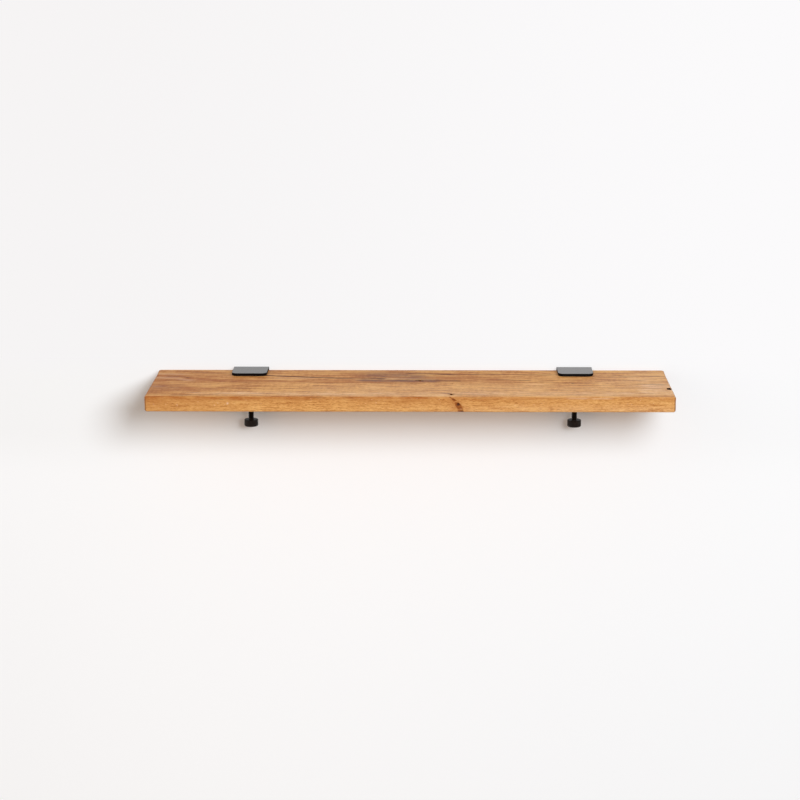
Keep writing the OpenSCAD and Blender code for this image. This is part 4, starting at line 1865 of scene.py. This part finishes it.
@dataclass
class Studio:
    """The camera at the photograph's angle, the wall and the floor, and the light."""

    focal_pixels: float = 2005.6
    frame_pixels: float = 800.0
    eye: Triple = (37.7 * MM, -3497.2 * MM, 841.3 * MM)
    pitch: float = math.radians(13.963)
    yaw: float = math.radians(0.990)
    roll: float = math.radians(-0.143)
    backdrop: float = 0.95
    wall_glow: float = 0.89
    room_glow: float = 0.645
    left_bias: float = 0.45
    room_tint: tuple[float, float, float, float] = (1.0, 0.9, 0.81, 1.0)
    ceiling_share: float = 0.5
    dark_middle: Triple = (0.0, -0.97, -0.24)
    dark_share: float = 0.12
    key: float = 30.0
    key_tint: Triple = (0.872, 0.942, 1.0)
    key_radius: float = 0.6
    key_place: Triple = (0.9, -3.0, 1.2)
    wall_size: float = 9.0
    wall_gap: float = 0.4 * MM
    floor_size: float = 80.0
    floor_drop: float = 1.3

    def build(self) -> None:
        """Makes the whole studio."""
        bpy.context.scene.view_settings.view_transform = "Standard"
        self.build_camera()
        self.build_light()
        self.build_wall()
        self.build_floor()

    def build_camera(self) -> None:
        """Stands the camera where the photograph was taken."""
        data = bpy.data.cameras.new("camera")
        data.lens = self.focal_pixels / self.frame_pixels * data.sensor_width
        camera = bpy.data.objects.new("camera", data)
        bpy.context.scene.collection.objects.link(camera)
        ahead = Vector((-math.sin(self.yaw), math.cos(self.yaw), 0))
        right = Vector((math.cos(self.yaw), math.sin(self.yaw), 0))
        up = Vector((0, 0, 1))
        look = math.cos(self.pitch) * ahead - math.sin(self.pitch) * up
        head = math.sin(self.pitch) * ahead + math.cos(self.pitch) * up
        side = math.cos(self.roll) * right + math.sin(self.roll) * head
        top = -math.sin(self.roll) * right + math.cos(self.roll) * head
        turned = Matrix((side, top, -look)).transposed()
        camera.matrix_world = Matrix.Translation(self.eye) @ turned.to_4x4()
        bpy.context.scene.camera = camera

    def build_light(self) -> None:
        """Lights the shelf: the bright wall behind, the dimmer room in front, a lamp at the right.

        The room is darker overhead, and dark in its middle, which the steel's front edges mirror.
        """
        world = bpy.data.worlds.new("room")
        world.use_nodes = True
        room = Nodes(world.node_tree)
        room.tree.nodes.clear()
        way = room.wire(room.add("ShaderNodeTexCoord"), "Generated")
        side, ahead, up = room.split(way)
        facing = room.vector("DOT_PRODUCT", way, Vector(self.dark_middle).normalized())
        middle = facing.ramp(0.8, 0.95)
        dimmed = (up.ramp(0.35, 0.7) * (1 - self.ceiling_share)).rest_of(1.0)
        dimmed = dimmed * (middle * (1 - self.dark_share)).rest_of(1.0) * (side * -self.left_bias + 1.0)
        dimmed = dimmed * self.room_glow
        wall_side = ahead.ramp(-0.1, 0.1)
        glow = dimmed + dimmed.rest_of(self.wall_glow) * wall_side
        seen = room.wire(room.add("ShaderNodeLightPath"), "Is Camera Ray")
        strength = glow + glow.rest_of(self.backdrop) * seen
        tint = room.blend(wall_side.math("MAXIMUM", seen), self.room_tint, (1.0, 1.0, 1.0, 1.0))
        sky = room.add("ShaderNodeBackground", {"Color": tint, "Strength": strength})
        room.add("ShaderNodeOutputWorld", {"Surface": sky.outputs[0]})
        bpy.context.scene.world = world

        data = bpy.data.lights.new("key", "POINT")
        data.energy = self.key
        data.color = self.key_tint
        data.shadow_soft_size = self.key_radius
        data.use_nodes = True
        lighting = Nodes(data.node_tree)
        lighting.tree.nodes.clear()
        even = lighting.wire(lighting.add("ShaderNodeLightFalloff", {"Strength": 1.0}), "Constant")
        glow = lighting.add("ShaderNodeEmission", {"Strength": even})
        lighting.add("ShaderNodeOutputLight", {"Surface": glow.outputs[0]})
        lamp = bpy.data.objects.new("key", data)
        bpy.context.scene.collection.objects.link(lamp)
        lamp.location = self.key_place
        lamp.visible_camera = False

    def build_wall(self) -> None:
        """Stands a plain white wall behind the brackets, which is clear when seen from behind."""
        corners = [(x, self.wall_gap, z) for x, z in self.square(self.wall_size)]
        self.set_up("wall", corners, self.one_sided_paint())

    def one_sided_paint(self) -> Material:
        """White wall paint, clear from behind, evenly lit above the shelf and brighter far below.

        Returns:
            The material.
        """
        paint = MaterialNodes("wall_paint")
        across, _, up = paint.split(paint.place())
        white = paint.blend(across.ramp(-0.7, 0.7), srgb(246, 244, 244), srgb(251, 250, 251))
        right = across.ramp(-0.5, 0.6)
        beside = paint.blend(right, srgb(245.6, 244.3, 243.8), srgb(244.4, 243.8, 244.6))
        below = paint.blend(right, srgb(250, 248.6, 248.6), srgb(246.4, 246, 246.8))
        lit = paint.blend(up.ramp(-0.18, -0.08), below, beside)
        even = up.ramp(-0.005, 0.05)
        paint.surface(
            Base_Color=paint.blend(even, lit, (0.0, 0.0, 0.0, 1.0)),
            Roughness=0.9,
            Specular_IOR_Level=0.0,
            Emission_Color=white,
            Emission_Strength=even,
        )
        clear = paint.add("ShaderNodeBsdfTransparent")
        behind = paint.wire(paint.add("ShaderNodeNewGeometry"), "Backfacing")
        mixed = paint.add("ShaderNodeMixShader", {"Fac": behind})
        feed(paint.tree, mixed.inputs[1], paint.shader.outputs[0])
        feed(paint.tree, mixed.inputs[2], clear.outputs[0])
        feed(paint.tree, paint.output.inputs["Surface"], mixed.outputs[0])
        return paint.material

    def build_floor(self) -> None:
        """Lays a plain pale floor far below the shelf."""
        paint = MaterialNodes("floor_paint")
        paint.surface(Base_Color=(0.905, 0.9, 0.9, 1.0), Roughness=0.9, Specular_IOR_Level=0.0)
        corners = [(x, y, -self.floor_drop) for x, y in self.square(self.floor_size)]
        self.set_up("floor", corners, paint.material)

    def square(self, side: float) -> Profile:
        """The corners of a square about the origin, in turn."""
        half = side / 2
        return [(-half, -half), (half, -half), (half, half), (-half, half)]

    def set_up(self, name: str, corners: list[Triple], paint: Material) -> None:
        """Makes a flat surface of the studio that the camera alone sees.

        Args:
            name: The surface's name.
            corners: Its four corners.
            paint: Its material.
        """
        surface = new_piece(name, corners, (), [(0, 1, 2, 3)])
        surface.data.materials.append(paint)
        surface.visible_diffuse = False
        surface.visible_glossy = False
        surface.visible_transmission = False
        surface.visible_shadow = False


def main() -> None:
    """Builds the studio and then the shelf, piece by piece."""
    logging.basicConfig(level=logging.INFO, format="%(message)s")
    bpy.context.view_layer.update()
    Studio().build()
    finishes = {finish.name: finish.material() for finish in FINISHES}
    turned = TurnedRecipe()
    recipes = (BentStripRecipe(), DrillRecipe(), WeldRecipe())
    Board(finishes["oak"]).build()
    for side in Side:
        ClampBracket(side, finishes, turned, *recipes).build()
        ClampScrew(side, finishes, turned).build()


if __name__ == "__main__":
    main()
